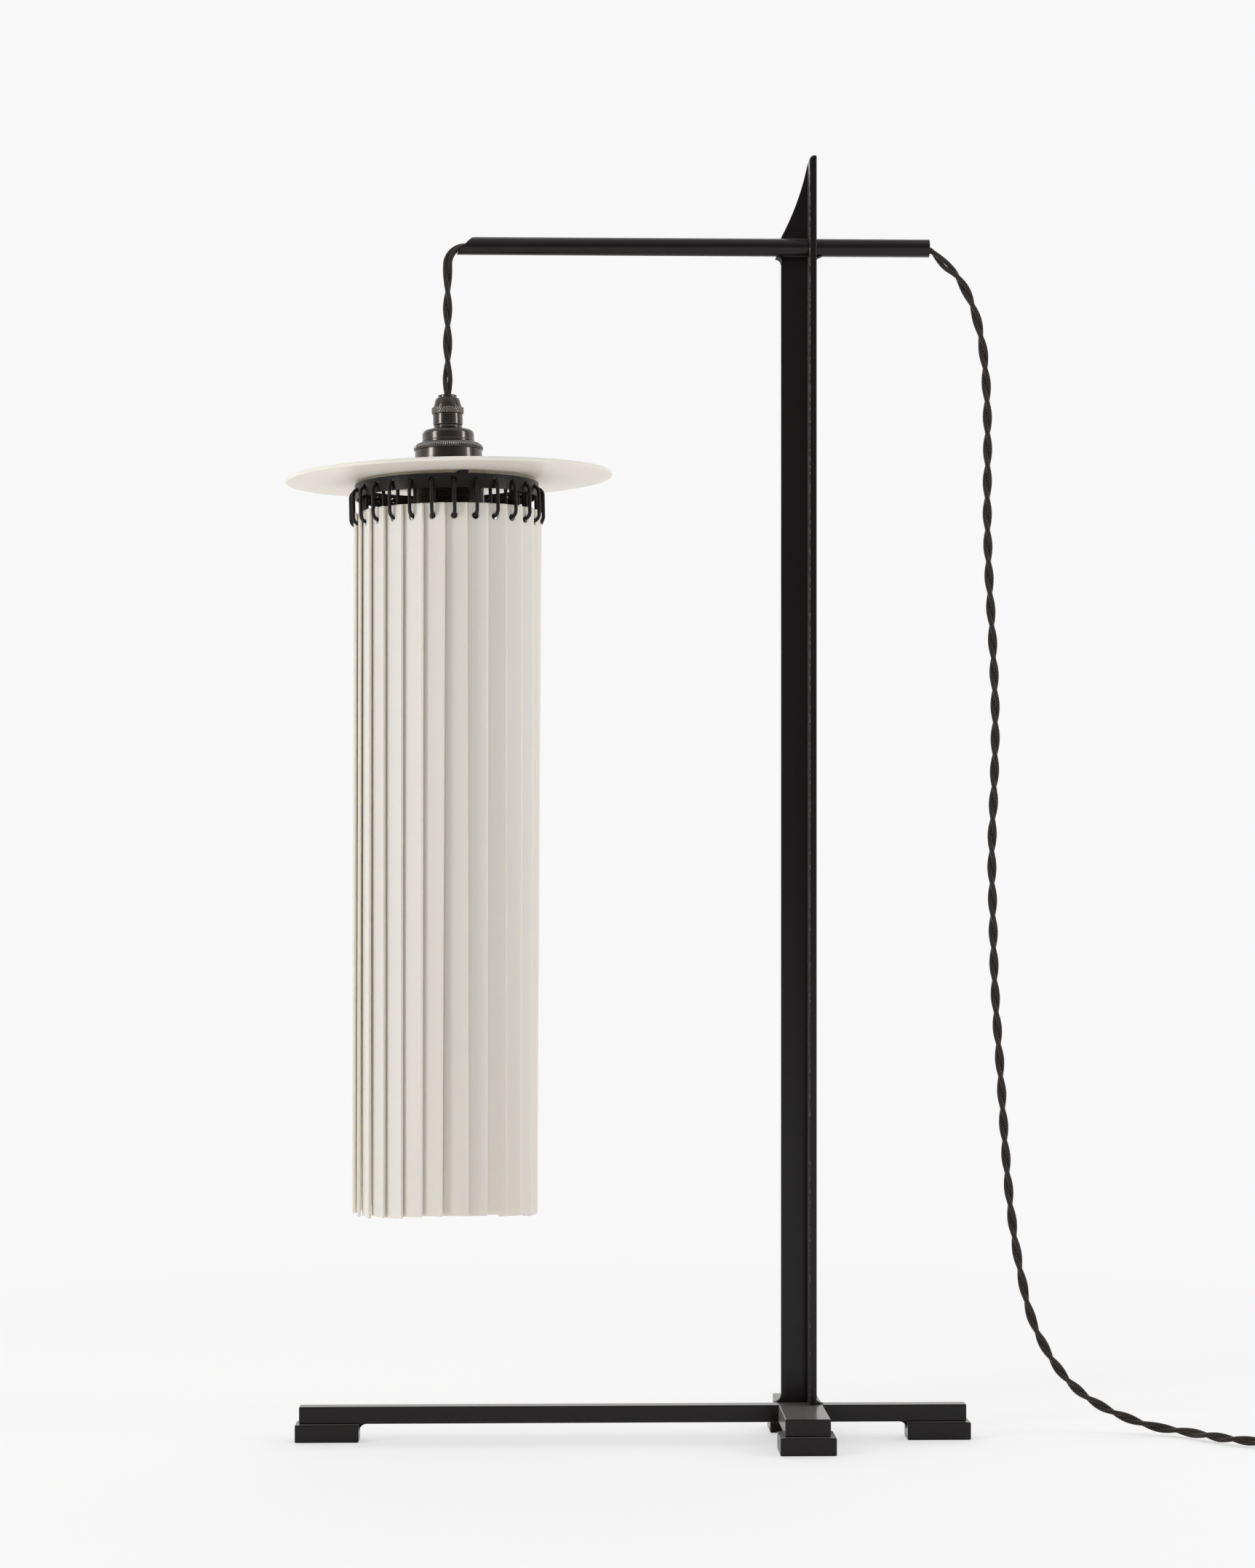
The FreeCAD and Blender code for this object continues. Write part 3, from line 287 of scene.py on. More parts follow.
# a mesh object from points in millimetres: doubles merged, faces outwards, smooth up to the crisp angle
def addMesh(name, points, faces, finish, crisp=40.0, uv=None, merge=True):
    mergeWithin = 2e-7      # metres
    mesh = bpy.data.meshes.new(name)
    mesh.from_pydata((points * mm).tolist(), [], faces)
    if uv is not None:
        layer = mesh.uv_layers.new(name="UVMap")
        layer.data.foreach_set("uv", uv.astype(np.float32).ravel())
    work = bmesh.new()
    work.from_mesh(mesh)
    if merge:
        bmesh.ops.remove_doubles(work, verts=work.verts, dist=mergeWithin)
    bmesh.ops.recalc_face_normals(work, faces=work.faces)
    work.to_mesh(mesh)
    work.free()
    smoothUpTo(mesh, crisp)
    mesh.materials.append(finishes[finish])
    return addObject(name, mesh)


# an attribute of the points, for the finish to read
def setAttribute(piece, name, values):
    attribute = piece.data.attributes.new(name, "FLOAT", "POINT")
    attribute.data.foreach_set("value", values.astype(np.float32).ravel())


# a finished piece rides its body and stands for its CAD nodes
def place(obj, body, slot, *standsFor):
    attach(obj, body)
    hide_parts(*standsFor)
    return obj


# the head hangs out of level: points turn about Y through the middle of the cord grip
def tipped(points):
    grip = np.array([shadeX, 0, places["gripZ"]])
    x, y, z = np.moveaxis(points - grip, -1, 0)
    c, s = math.cos(places["tip"]), math.sin(places["tip"])
    return np.stack([x * c - z * s, y, x * s + z * c], -1) + grip


# quadratic curve from a to b, drawn towards the corner, at shares t of the way
def quadratic(a, corner, b, t):
    return (1 - t) ** 2 * a + 2 * t * (1 - t) * corner + t ** 2 * b


# soft corners: each corner of a closed outline is cut back, by under half a side, and bridged by such a curve
def softOutline(corners, radius, steps=4, mostOfSide=0.45):
    corners = np.asarray(corners, float)
    before, after = np.roll(corners, 1, 0) - corners, np.roll(corners, -1, 0) - corners
    lengthBefore, lengthAfter = np.linalg.norm(before, axis=1), np.linalg.norm(after, axis=1)
    cut = np.minimum(radius, mostOfSide * np.minimum(lengthBefore, lengthAfter))
    a = corners + before * (cut / lengthBefore)[:, None]
    b = corners + after * (cut / lengthAfter)[:, None]
    t = np.linspace(0, 1, steps)[None, :, None]
    return quadratic(a[:, None], corners[:, None], b[:, None], t).reshape(-1, 2)


# knurl: the higher of two cosine ripples of so many teeth, which lean both ways with the height by the slant
def knurlWave(outline, look):
    angle, height = roundAngles(look["columns"]), outline[:, 1][:, None]
    ripples = [np.cos(look["teeth"] * angle + lean * look["slant"] * height) for lean in (1, -1)]
    return np.maximum(*ripples)


# turned piece: a closed outline of (radius, height) carried round the shade's axis, its radius lowered
# between the crests of a knurl by each row's depth
def turnedPoints(outline, look, depth=None):
    angle = roundAngles(look["columns"])
    radius = outline[:, 0][:, None] + np.zeros(look["columns"])
    height = outline[:, 1][:, None] + np.zeros(look["columns"])
    if depth is not None:
        radius = radius - depth[:, None] * (0.5 - 0.5 * knurlWave(outline, look))
    return np.stack([shadeX + radius * np.cos(angle), radius * np.sin(angle), height], -1)


# a turned piece of the lampholder, on the tipped head
def turnedPiece(name, outline, node, look, depth=None):
    points = tipped(turnedPoints(outline, look, depth)).reshape(-1, 3)
    faces = gridQuads(len(outline), look["columns"], joinRows=True).tolist()
    piece = addMesh(name, points, faces, "bronze", look["crisp"], merge=depth is None)
    return place(piece, "shade_head", "bronze", node)


# lightened crests: the knurl's own height, sharpened by a fourth power, on the rows that have depth; painted
# glints, also wear
def lightenCrests(piece, outline, look, depth):
    crest = (0.5 + 0.5 * knurlWave(outline, look)) ** 4 * look["glintAndWear"]
    setAttribute(piece, "wearAndHighlight", crest * (depth / depth.max())[:, None])


# a table of values by place, read by straight steps between its places
def fromTable(at, table):
    return np.interp(at, list(table.keys()), list(table.values()))


# rows of a path at an even spacing, by length along it
def evenRows(points, spacing):
    run = np.concatenate([[0], np.cumsum(np.linalg.norm(np.diff(points, axis=0), axis=1))])
    at = np.linspace(0, run[-1], int(run[-1] / spacing) + 2)
    return np.stack([np.interp(at, run, points[:, k]) for k in range(3)], -1), at


# directions across a path: the side is the axis less its part along the path, and the other is square to both
def acrossPath(points, axis):
    ahead = unit(np.gradient(points, axis=0))
    side = unit(axis - ahead * (ahead @ axis)[:, None])
    return side, np.cross(ahead, side)


# round tube: a circle carried along the path, with its run in the UV map's second coordinate in millimetres
def tubeParts(points, run, radius, sides, axis):
    side, other = acrossPath(points, axis)
    angle = roundAngles(sides)[None, :, None]
    ring = side[:, None] * np.cos(angle) + other[:, None] * np.sin(angle)
    quads = gridQuads(len(points), sides)
    column = quads[:, 0] % sides
    u = np.stack([column, column + 1, column + 1, column], -1) / sides
    v = run[quads // sides]
    return (points[:, None] + radius * ring).reshape(-1, 3), quads, np.stack([u, v], -1)


pair = {
    "strandRadius": 1.4, "apart": 1.35, "halfTurn": 18.9, "diameter": 5.7,
    "sides": 12, "spacing": 1.2, "crisp": 60,
    "beyond": 60,            # half turns past the ends of a table of crossings
}


# twisted pair: two round strands wind about the path, half a turn apart; the run counts from the path's start
def twistedPair(path, spacing, axis, turnAt, apartAt, name):
    rows, run = evenRows(path, spacing)
    side, other = acrossPath(rows, axis)
    sides = pair["sides"]
    points, faces, uv, count = [], [], [], 0
    for half in (0.0, math.pi):
        turn = turnAt(run)[:, None] + half
        middle = rows + apartAt(run)[:, None] * (np.cos(turn) * side + np.sin(turn) * other)
        strand, quads, corners = tubeParts(middle, run, pair["strandRadius"], sides, axis)
        points.append(strand)
        faces += (quads + count).tolist() + endFaces(len(rows), sides, count)
        uv += [corners.reshape(-1, 2), np.zeros((2 * sides, 2))]
        count += len(strand)
    points, uv = np.concatenate(points), np.concatenate(uv)
    return addMesh(name, points, faces, "braid", pair["crisp"], uv, merge=False), rows


# a NURBS line through route points: quadratic, held at both ends, read back as points
def routeLine(name, route, steps):
    curve = bpy.data.curves.new(name, "CURVE")
    curve.dimensions = "3D"
    curve.resolution_u = steps
    spline = curve.splines.new("NURBS")
    spline.points.add(len(route) - 1)
    spline.points.foreach_set("co", np.c_[np.asarray(route) * mm, np.ones(len(route))].ravel())
    spline.order_u = 3
    spline.use_endpoint_u = True
    holder = bpy.data.objects.new(name, curve)
    line = bpy.data.meshes.new_from_object(holder)
    points = np.empty(len(line.vertices) * 3)
    line.vertices.foreach_get("co", points)
    bpy.data.objects.remove(holder)
    bpy.data.curves.remove(curve)
    bpy.data.meshes.remove(line)
    return points.reshape(-1, 3) / mm


# left-hand lay: half a turn from one numbered crossing to the next, and evenly past both ends of the table
def layTurn(crossings):
    numbers, runs, more = list(crossings.keys()), list(crossings.values()), pair["beyond"]
    numbers = [numbers[0] - more, *numbers, numbers[-1] + more]
    runs = [runs[0] - more * pair["halfTurn"], *runs, runs[-1] + more * pair["halfTurn"]]
    return lambda run: -math.pi * np.interp(run, runs, numbers)


# an even pair: its strands lie the same way apart all along the run
def evenApart(run):
    return np.full(len(run), pair["apart"])


# lead: the run of each crossing that shows, by its number, and the route from the arm's end to the switch
lead = {
    "length": 0.846,
    "crossings": {
        0: 4.2, 1: 24.3, 2: 42.6, 3: 61.4, 4: 80.2, 5: 99.4, 6: 118.2, 7: 137.0, 8: 156.0, 9: 174.8,
        10: 193.2, 11: 212.0, 31: 590.2, 32: 609.5, 33: 629.0, 34: 648.0, 35: 665.6, 36: 682.0,
        37: 697.6, 38: 714.7, 39: 732.7, 40: 752.6, 41: 774.5,
    },
    "loose": 0.1, "looseAt": 14.5, "looseOver": 6.0, "lineSteps": 16,
    "route": [
        (75.7, 0.0, 694.9), (77.6, 0.0, 694.4), (80.2, 0.05, 691.6), (85.2, 0.1, 686.4),
        (92.8, 0.3, 680.1), (101.6, 0.6, 663.4), (107.0, 0.9, 643.0), (109.8, 1.2, 616.0),
        (110.4, 1.5, 581.0), (109.9, 1.8, 543.0), (111.0, 2.1, 505.0), (113.5, 2.5, 465.0),
        (115.2, 2.9, 425.0), (114.6, 3.4, 385.0), (112.8, 3.9, 345.0), (113.8, 4.4, 305.0),
        (114.8, 4.9, 262.0), (118.3, 5.5, 216.0), (121.1, 6.1, 170.0), (125.0, 6.8, 127.0),
        (130.7, 7.5, 94.0), (136.5, 8.2, 69.0), (145.0, 8.9, 51.0), (154.8, 9.6, 36.0),
        (166.0, 10.0, 24.5), (179.5, 10.2, 15.6), (194.0, 9.6, 9.2), (208.5, 7.4, 4.6),
        (221.0, 1.6, 3.3), (230.8, -9.6, 3.2), (240.4, -22.6, 3.2), (252.6, -34.6, 3.2),
        (267.5, -43.2, 3.6), (282.0, -46.5, 6.6), (294.0, -46.5, 6.6),
    ],
}


# the strands part a little in the first turn out of the arm: a bell curve over the run
def leadApart(run):
    bell = np.exp(-((run - lead["looseAt"]) / lead["looseOver"]) ** 2)
    return pair["apart"] + lead["loose"] * bell


leadPath = routeLine("leadLine", np.array(lead["route"]) + postX * xAxis, lead["lineSteps"])
leadTurn = layTurn(lead["crossings"])
leadCord, leadRows = twistedPair(leadPath, pair["spacing"], yAxis, leadTurn, leadApart, "leadFlex")
place(leadCord, "stand", "flex", "mains_lead")

coil = {
    "length": 0.873, "centre": (postX + 342.0, 18.0), "radius": 36.0, "step": 6.4, "turns": 4, "perTurn": 36,
    "ease": math.radians(40), "lift": 4.05, "switchEnd": (postX + 350.0, -46.5, 6.6),
    "noseGap": 38.0, "noseZ": 7.5, "crossings": {0: 3.0}, "lineSteps": 10,
}


# coil: the radius falls a step a turn to the middle turn and grows again; the height eases up a step there
def coilPoints(angle):
    end = fullTurn * coil["turns"]
    away = np.sqrt((angle - end / 2) ** 2 + coil["ease"] ** 2)
    full = math.sqrt((end / 2) ** 2 + coil["ease"] ** 2)
    radius = coil["radius"] - coil["step"] * (full - away) / fullTurn
    climb = np.clip((angle - end / 2) / math.pi + 0.5, 0, 1)
    height = coil["lift"] + coil["step"] * climb * climb * (3 - 2 * climb)
    cx, cy = coil["centre"]
    return np.stack([cx + radius * np.cos(angle), cy + radius * np.sin(angle), height], -1)


# two tangent legs of one length give the bend between two points and headings: their ends and the middle
def bendCorners(p0, t0, p1, t1):
    v, straight = p1 - p0, 1e-9
    both, bend = v @ (t0 + t1), 2 * (1 - t0 @ t1)
    if bend > straight:
        reach = (-both + math.sqrt(both ** 2 + bend * (v @ v))) / bend
    else:
        reach = (v @ v) / (2 * both)
    return [p0 + t0 * reach, (p0 + t0 * reach + p1 - t1 * reach) / 2, p1 - t1 * reach]


coilTurns = coilPoints(np.linspace(0, fullTurn * coil["turns"], coil["perTurn"] * coil["turns"] + 1))
switchEnd = np.array(coil["switchEnd"])
leave = switchEnd + pair["diameter"] * xAxis
heading = unit(coilTurns[1] - coilTurns[0])
first = coilTurns[0] - heading * coil["radius"]
tail = unit(coilTurns[-1] - coilTurns[-2])
nose = np.array([coilTurns[-1][0], coilTurns[-1][1] + coil["noseGap"], coil["noseZ"]])
noseEnd = nose + pair["diameter"] * yAxis
coilRoute = np.array(
    [switchEnd, leave] + bendCorners(leave, xAxis, first, heading) + [first]
    + list(coilTurns) + bendCorners(coilTurns[-1], tail, nose, yAxis) + [nose, noseEnd]
)
coilPath = routeLine("coilLine", coilRoute, coil["lineSteps"])
coilTurn = layTurn(coil["crossings"])
coilCord, coilRows = twistedPair(coilPath, pair["spacing"], zAxis, coilTurn, evenApart, "coilFlex")
place(coilCord, "stand", "flex", "cord_coil")

# the flex through the arm, over its lip and down to the cord grip, cut where the swing begins; two tables
# give the half turns and the way apart by the run from the lip
flex = {
    "start": places["armEnd"] - 0.2,      # just inside the arm's right end
    "bend": 11.0, "z": 696.0, "foot": 586.0,
    "armSteps": 200, "lipSteps": 25, "dropSteps": 80, "armSpacing": 1.5, "dropSpacing": 0.8,
    "halfTurns": {0.0: 0.08, 9.0: 0.25, 21.0: 0.52, 32.9: 1.0, 52.6: 2.0, 73.1: 3.0, 95.8: 4.0, 115.0: 5.0},
    "apart": {74.0: pair["apart"], 84.0: 1.5, 94.0: 1.25},
    "armStill": 30, "armMoves": 2, "dropStill": 691.0, "dropMoves": 678.0,      # limits meant for blends, which nothing here reads
}
bendX = shadeX + flex["bend"]
dropTop = flex["z"] - flex["bend"]
alongArm = np.linspace((flex["start"], 0, cordZ), (bendX, 0, flex["z"]), flex["armSteps"])
quarter = np.linspace(0, math.pi / 2, flex["lipSteps"])
overLip = np.stack([
    bendX - flex["bend"] * np.sin(quarter), 0 * quarter, flex["z"] - flex["bend"] * (1 - np.cos(quarter)),
], -1)
down = np.linspace((shadeX, 0, dropTop), (shadeX, 0, flex["foot"]), flex["dropSteps"])


# the strands swell above the cord grip and close up in it
def dropApart(run):
    return fromTable(run, flex["apart"])


# over the lip the strands lie nearly side by side in depth; below it they cross at each whole half turn
def dropTurn(run):
    return -math.pi * fromTable(run, flex["halfTurns"])


# inside the arm the lay is even, and meets the drop's first turn at the lip
def armTurn(run):
    left = flex["start"] - bendX - run
    return math.pi * (left / pair["halfTurn"] - flex["halfTurns"][0.0])


armFlex = twistedPair(alongArm, flex["armSpacing"], yAxis, armTurn, evenApart, "armFlex")[0]
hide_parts("cord_in_arm")
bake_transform(armFlex)
dropPath = np.concatenate([overLip, down[1:]])
dropFlex = twistedPair(dropPath, flex["dropSpacing"], yAxis, dropTurn, dropApart, "dropFlex")[0]
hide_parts("cord_bend", "cord_drop")
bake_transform(dropFlex)
print("flex run: lead, coil, arm and drop")

armTube = {
    "outer": 5.2, "inner": 4.0, "lipX": -100.0915, "lipZ": 690.8, "slope": math.radians(47),
    "edge": 0.25, "soft": 0.075, "columns": 72, "crisp": 38,
}


# arm: rings of two radii, from the slanting mouth, where x grows with height, to the square right end
def armPoints():
    angle = roundAngles(armTube["columns"])
    outer, inner, edge, soft = (armTube[size] for size in ("outer", "inner", "edge", "soft"))

    def mouthRing(radius, back):
        height = places["armZ"] + radius * np.sin(angle)
        mouth = armTube["lipX"] + (height - armTube["lipZ"]) / math.tan(armTube["slope"])
        return np.stack([mouth + back, radius * np.cos(angle), height], -1)

    def endRing(radius, back):
        points = mouthRing(radius, 0)
        points[:, 0] = places["armEnd"] - back
        return points

    return np.stack([
        mouthRing(inner + edge, 0), mouthRing(outer - edge, 0), mouthRing(outer - soft, soft),
        mouthRing(outer, edge), endRing(outer, edge), endRing(outer - soft, soft), endRing(outer - edge, 0),
        endRing(inner + edge, 0), endRing(inner, edge), mouthRing(inner, edge),
    ])


arm = armPoints()
armFaces = gridQuads(len(arm), armTube["columns"], joinRows=True).tolist()
armPiece = addMesh("armTubeCoated", arm.reshape(-1, 3), armFaces, "powderCoat", armTube["crisp"])
place(armPiece, "stand", "powder_coat", "arm_tube")

post = {
    "left": -10.6, "inner": 5.0, "right": 9.3, "foot": 20.2, "top": 748.7,
    "topLeft": 2.5, "topCut": 0.5, "topRight": 0.9,
    "front": -7.2, "webFront": 5.25, "back": 9.25, "edge": 0.9, "webEdge": 0.5, "overlap": 1.0,
    "finFoot": 703.2, "finTip": (5.0, 746.7), "finDrop": 0.4, "finHollow": 1.7, "finSteps": 24,
    # the first three values below place the painted highlight on the flange's edge and fade it towards the
    # foot
    "highlightFoot": 0.75, "highlightWide": 0.5, "highlightFrom": 0.02, "crisp": 30,
}


# slab: a closed (x, z) outline carried from front to back, drawn in along its normals where edges are rounded
def slab(outline, front, back, edge, first=0, steps=5):
    ahead = unit(np.roll(outline, -1, 0) - np.roll(outline, 1, 0))
    inward = np.stack([-ahead[:, 1], ahead[:, 0]], -1)
    turn = np.linspace(0, math.pi / 2, steps)
    depth = np.concatenate([front + edge * (1 - np.cos(turn)), back - edge * (1 - np.cos(turn[::-1]))])
    inset = np.concatenate([edge * (1 - np.sin(turn)), edge * (1 - np.sin(turn[::-1]))])
    flat = outline[None] + inward[None] * inset[:, None, None]
    points = np.stack([flat[..., 0], np.broadcast_to(depth[:, None], flat.shape[:2]), flat[..., 1]], -1)
    rows, columns = flat.shape[:2]
    faces = (gridQuads(rows, columns) + first).tolist() + endFaces(rows, columns, first)
    return points.reshape(-1, 3), faces


# round corner: a quadratic curve between two points, with the corner they meet at
def roundCorner(a, corner, b, steps=6):
    t = np.linspace(0, 1, steps)[:, None]
    return quadratic(np.array(a), np.array(corner), np.array(b), t)


# post: the flange has two round corners at its top; the web's fin is a curve whose corner stands off the
# middle of the slope, square to it, by twice the hollow
def postOutlines():
    inner, right, foot, top = (post[size] for size in ("inner", "right", "foot", "top"))
    topLeft, cut, topRight = post["topLeft"], post["topCut"], post["topRight"]
    flange = np.concatenate([
        [(inner, foot), (right, foot)],
        roundCorner((right, top - topRight), (right, top), (right - topRight, top)),
        roundCorner((inner + topLeft, top), (inner + cut, top - cut), (inner, top - topLeft)),
    ])
    fin, tip = np.array([post["left"], post["finFoot"]]), np.array(post["finTip"])
    across = unit(np.array([tip[1] - fin[1], fin[0] - tip[0]]))
    hollow = roundCorner(tip, (fin + tip) / 2 + 2 * post["finHollow"] * across, fin, post["finSteps"])
    under = inner + post["overlap"]
    web = np.concatenate([[(post["left"], foot), (under, foot), (under, tip[1] - post["finDrop"])], hollow])
    return flange, web


flangeOutline, webOutline = postOutlines()
flangePoints, flangeFaces = slab(flangeOutline, post["front"], post["back"], post["edge"])
webPoints, webFaces = slab(webOutline, post["webFront"], post["back"], post["webEdge"], len(flangePoints))
postPoints = np.concatenate([flangePoints, webPoints]) + postX * xAxis
postFaces = flangeFaces + webFaces
postPiece = addMesh("postCoated", postPoints, postFaces, "powderCoat", post["crisp"], merge=False)
place(postPiece, "stand", "powder_coat", "post")

# the flange's front left edge gets a painted highlight, which also stands for scuffed metal, brighter higher
# up: its points are just behind the front face and near the inner side
x, y, z = postPoints.T
nearFront = (y > post["front"] + post["highlightFrom"]) & (y < post["front"] + post["highlightWide"])
highlightedEdge = nearFront & (x < postX + post["inner"] + post["highlightWide"])
highlightByHeight = np.interp(z, [post["foot"], post["finFoot"]], [post["highlightFoot"], 1.0])
setAttribute(postPiece, "wearAndHighlight", highlightedEdge * highlightByHeight)
print("arm tube and post made")

# lampholder: outlines are (radius, height), walked round once
gripNut = {
    "dome": [(3.35, 601.85), (3.35, 608.85), (5.45, 608.85), (5.45, 607.2), (6.9, 606.7), (8.2, 601.75)],
    "soft": 0.4, "softSteps": 4, "shoulder": (8.9, 601.55), "radius": 9.3, "top": 601.35, "bottom": 597.95,
    "rows": 15, "foot": [(8.9, 597.68), (6.45, 597.65), (6.45, 601.85)],
    "deep": 0.4, "columns": 400, "teeth": 36, "slant": 3.2, "glintAndWear": 0.22, "crisp": 50,
}
nutDome = softOutline(gripNut["dome"], gripNut["soft"], gripNut["softSteps"])
nutOutline = np.concatenate([
    nutDome[gripNut["softSteps"]:],     # without its first corner, which the foot's last point is
    [gripNut["shoulder"]],
    np.linspace((gripNut["radius"], gripNut["top"]), (gripNut["radius"], gripNut["bottom"]), gripNut["rows"]),
    gripNut["foot"],
])
nutDepth = np.where(nutOutline[:, 0] >= gripNut["radius"], gripNut["deep"], 0.0)
nutPiece = turnedPiece("gripNutTurned", nutOutline, "cord_grip_nut", gripNut, nutDepth)
# painted glints, also standing for wear, on the nut's knurl crests
lightenCrests(nutPiece, nutOutline, gripNut, nutDepth)

plainTurned = {
    "nippleTurned": {
        "node": "cord_grip_nipple", "soft": 0.35, "softSteps": 4,
        "outline": [
            (3.35, 601.5), (6.4, 601.5), (6.4, 597.65), (8.65, 597.65), (8.65, 592.0), (8.65, 591.4),
            (8.1, 590.9), (8.1, 590.5), (8.45, 590.1), (8.1, 588.85), (6.4, 588.85), (6.4, 584.85),
            (3.35, 584.85),
        ],
    },
    "capTurned": {
        "node": "holder_cap", "soft": 0.8, "softSteps": 5,
        "outline": [
            (6.45, 588.85), (9.3, 588.85), (12.6, 588.55), (14.2, 587.8), (14.95, 586.7), (15.1, 585.4),
            (15.1, 582.5), (15.25, 582.3), (15.25, 581.9), (15.1, 581.7), (15.1, 579.55), (17.55, 579.55),
            (17.55, 578.15), (13.85, 578.15), (13.85, 585.2), (11.65, 587.4), (6.45, 587.4),
        ],
    },
    "shellTurned": {
        "node": "holder_shell", "soft": 0.35, "softSteps": 4,
        "outline": [
            (16.4, 578.15), (17.55, 578.15), (17.55, 576.45), (19.6, 576.45), (19.6, 561.45),
            (18.0, 561.45), (18.0, 541.45), (16.4, 541.45),
        ],
    },
}
plainTurn = {"columns": 128, "crisp": 32}
for name, piece in plainTurned.items():
    outline = softOutline(piece["outline"], piece["soft"], piece["softSteps"])
    turnedPiece(name, outline, piece["node"], plainTurn)

knurledRing = {
    "outline": [
        (15.3, 580.9), (16.6, 580.9), (18.0, 580.4), (19.2, 579.5), (19.9, 578.9), (20.2, 578.5),
        (20.2, 577.2), (20.2, 576.8), (20.0, 576.45), (17.6, 576.45), (17.6, 579.55), (15.3, 579.55),
    ],
    "soft": 0.3, "knurledOut": 18.5, "deep": {576.8: 0.0, 577.1: 0.55, 579.0: 0.55, 580.3: 0.0},
    "columns": 800, "teeth": 100, "slant": 0.0, "crisp": 60,
    "glintAndWear": 1.0, "glintFrom": 577.8, "glintTo": 579.4,
}
ringOutline = softOutline(knurledRing["outline"], knurledRing["soft"])
ringR, ringZ = ringOutline.T
ringDepth = fromTable(ringZ, knurledRing["deep"]) * (ringR > knurledRing["knurledOut"])
ringPiece = turnedPiece("knurledRingTurned", ringOutline, "knurled_ring", knurledRing, ringDepth)
# painted glints, also standing for wear, on the ring's crests, only in the band of rows where the teeth catch
# light
glintRows = (ringZ > knurledRing["glintFrom"]) & (ringZ < knurledRing["glintTo"])
lightenCrests(ringPiece, ringOutline, knurledRing, ringDepth * glintRows)

# skirt: ridges are a cosine of the height
skirt = {
    "top": 558.05, "length": 21.0, "ridges": 20, "ridgeSteps": 6, "outer": 20.3, "groove": 0.55,
    "bore": 18.05, "columns": 96, "crisp": 60,
}
ridgeRows = skirt["ridges"] * skirt["ridgeSteps"]
step = np.arange(ridgeRows + 1)
ridgeZ = skirt["top"] - skirt["length"] * step / ridgeRows
ridgeR = skirt["outer"] - skirt["groove"] * (0.5 + 0.5 * np.cos(fullTurn * step / skirt["ridgeSteps"]))
skirtOutline = np.concatenate([
    np.stack([ridgeR, ridgeZ], -1), [(skirt["bore"], ridgeZ[-1]), (skirt["bore"], skirt["top"])],
])
turnedPiece("skirtTurned", skirtOutline, "threaded_skirt", skirt)
print("lampholder turned")

disc = {
    "radius": 95.3, "top": 561.45, "thick": 2.2, "hole": 18.3, "holeWide": 0.4, "holeDeep": 0.3,
    "rimEase": 0.5, "flatSteps": 16, "rimSteps": 13, "columns": 192, "crisp": 32, "roll": 0.5, "nod": 0.8,
}
rimTurn = np.linspace(-math.pi / 2, math.pi / 2, disc["rimSteps"])
rimR, rimZ = disc["thick"] / 2, disc["top"] - disc["thick"] / 2
flatFrom, flatTo = disc["hole"] + disc["holeWide"], disc["radius"] - rimR - disc["rimEase"]
discOutline = np.concatenate([
    [(disc["hole"], rimZ - rimR + disc["holeDeep"])],
    np.linspace((flatFrom, rimZ - rimR), (flatTo, rimZ - rimR), disc["flatSteps"]),
    np.stack([disc["radius"] - rimR + rimR * np.cos(rimTurn), rimZ + rimR * np.sin(rimTurn)], -1),
    np.linspace((flatTo, rimZ + rimR), (flatFrom, rimZ + rimR), disc["flatSteps"]),
    [(disc["hole"], rimZ + rimR - disc["holeDeep"])],
])


# the disc sits a little askew: its height changes by the sines of a roll to the left and a nod to the front
def askew(points):
    roll, nod = math.sin(math.radians(disc["roll"])), math.sin(math.radians(disc["nod"]))
    rise = (points[..., 0] - shadeX) * roll + points[..., 1] * nod
    return points + rise[..., None] * zAxis


discPoints = tipped(askew(turnedPoints(discOutline, disc))).reshape(-1, 3)
discFaces = gridQuads(len(discOutline), disc["columns"], joinRows=True).tolist()
discPiece = addMesh("discPorcelain", discPoints, discFaces, "porcelain", disc["crisp"])
place(discPiece, "shade_head", "porcelain", "porcelain_disc")

ring = {"count": 27, "first": -84.2, "radius": 52.0, "shift": 1.39093}
ringX = shadeX - ring["shift"]
stripAngle = np.radians(ring["first"] + np.arange(ring["count"]) * 360 / ring["count"])
hook = {
    "half": 4.0, "top": 553.16, "bottom": 532.8, "wire": 1.05,
    "sides": 12, "steps": 14, "legs": 6, "crisp": 60,
}


# link: a half circle, a straight leg, a half circle and a leg back, in a radial plane, with a small circle
# carried round it
def linkPoints():
    half, wire = hook["half"], hook["wire"]
    bow = np.linspace(0, math.pi, hook["steps"], endpoint=False)
    leg = np.linspace(0, 1, hook["legs"], endpoint=False)
    side = np.full(hook["legs"], half)
    high, low = hook["top"] - half, hook["bottom"] + half
    out = np.concatenate([half * np.cos(bow), -side, -half * np.cos(bow), side])
    up = np.concatenate([
        high + half * np.sin(bow), high + (low - high) * leg,
        low - half * np.sin(bow), low + (high - low) * leg,
    ])
    nextOut, nextUp = np.roll(out, -1) - np.roll(out, 1), np.roll(up, -1) - np.roll(up, 1)
    size = np.hypot(nextOut, nextUp)
    turn = roundAngles(hook["sides"])
    r = ring["radius"] + out[:, None] + wire * np.cos(turn) * (nextUp / size)[:, None]
    z = up[:, None] - wire * np.cos(turn) * (nextOut / size)[:, None]
    return r, np.zeros_like(r) + wire * np.sin(turn), z


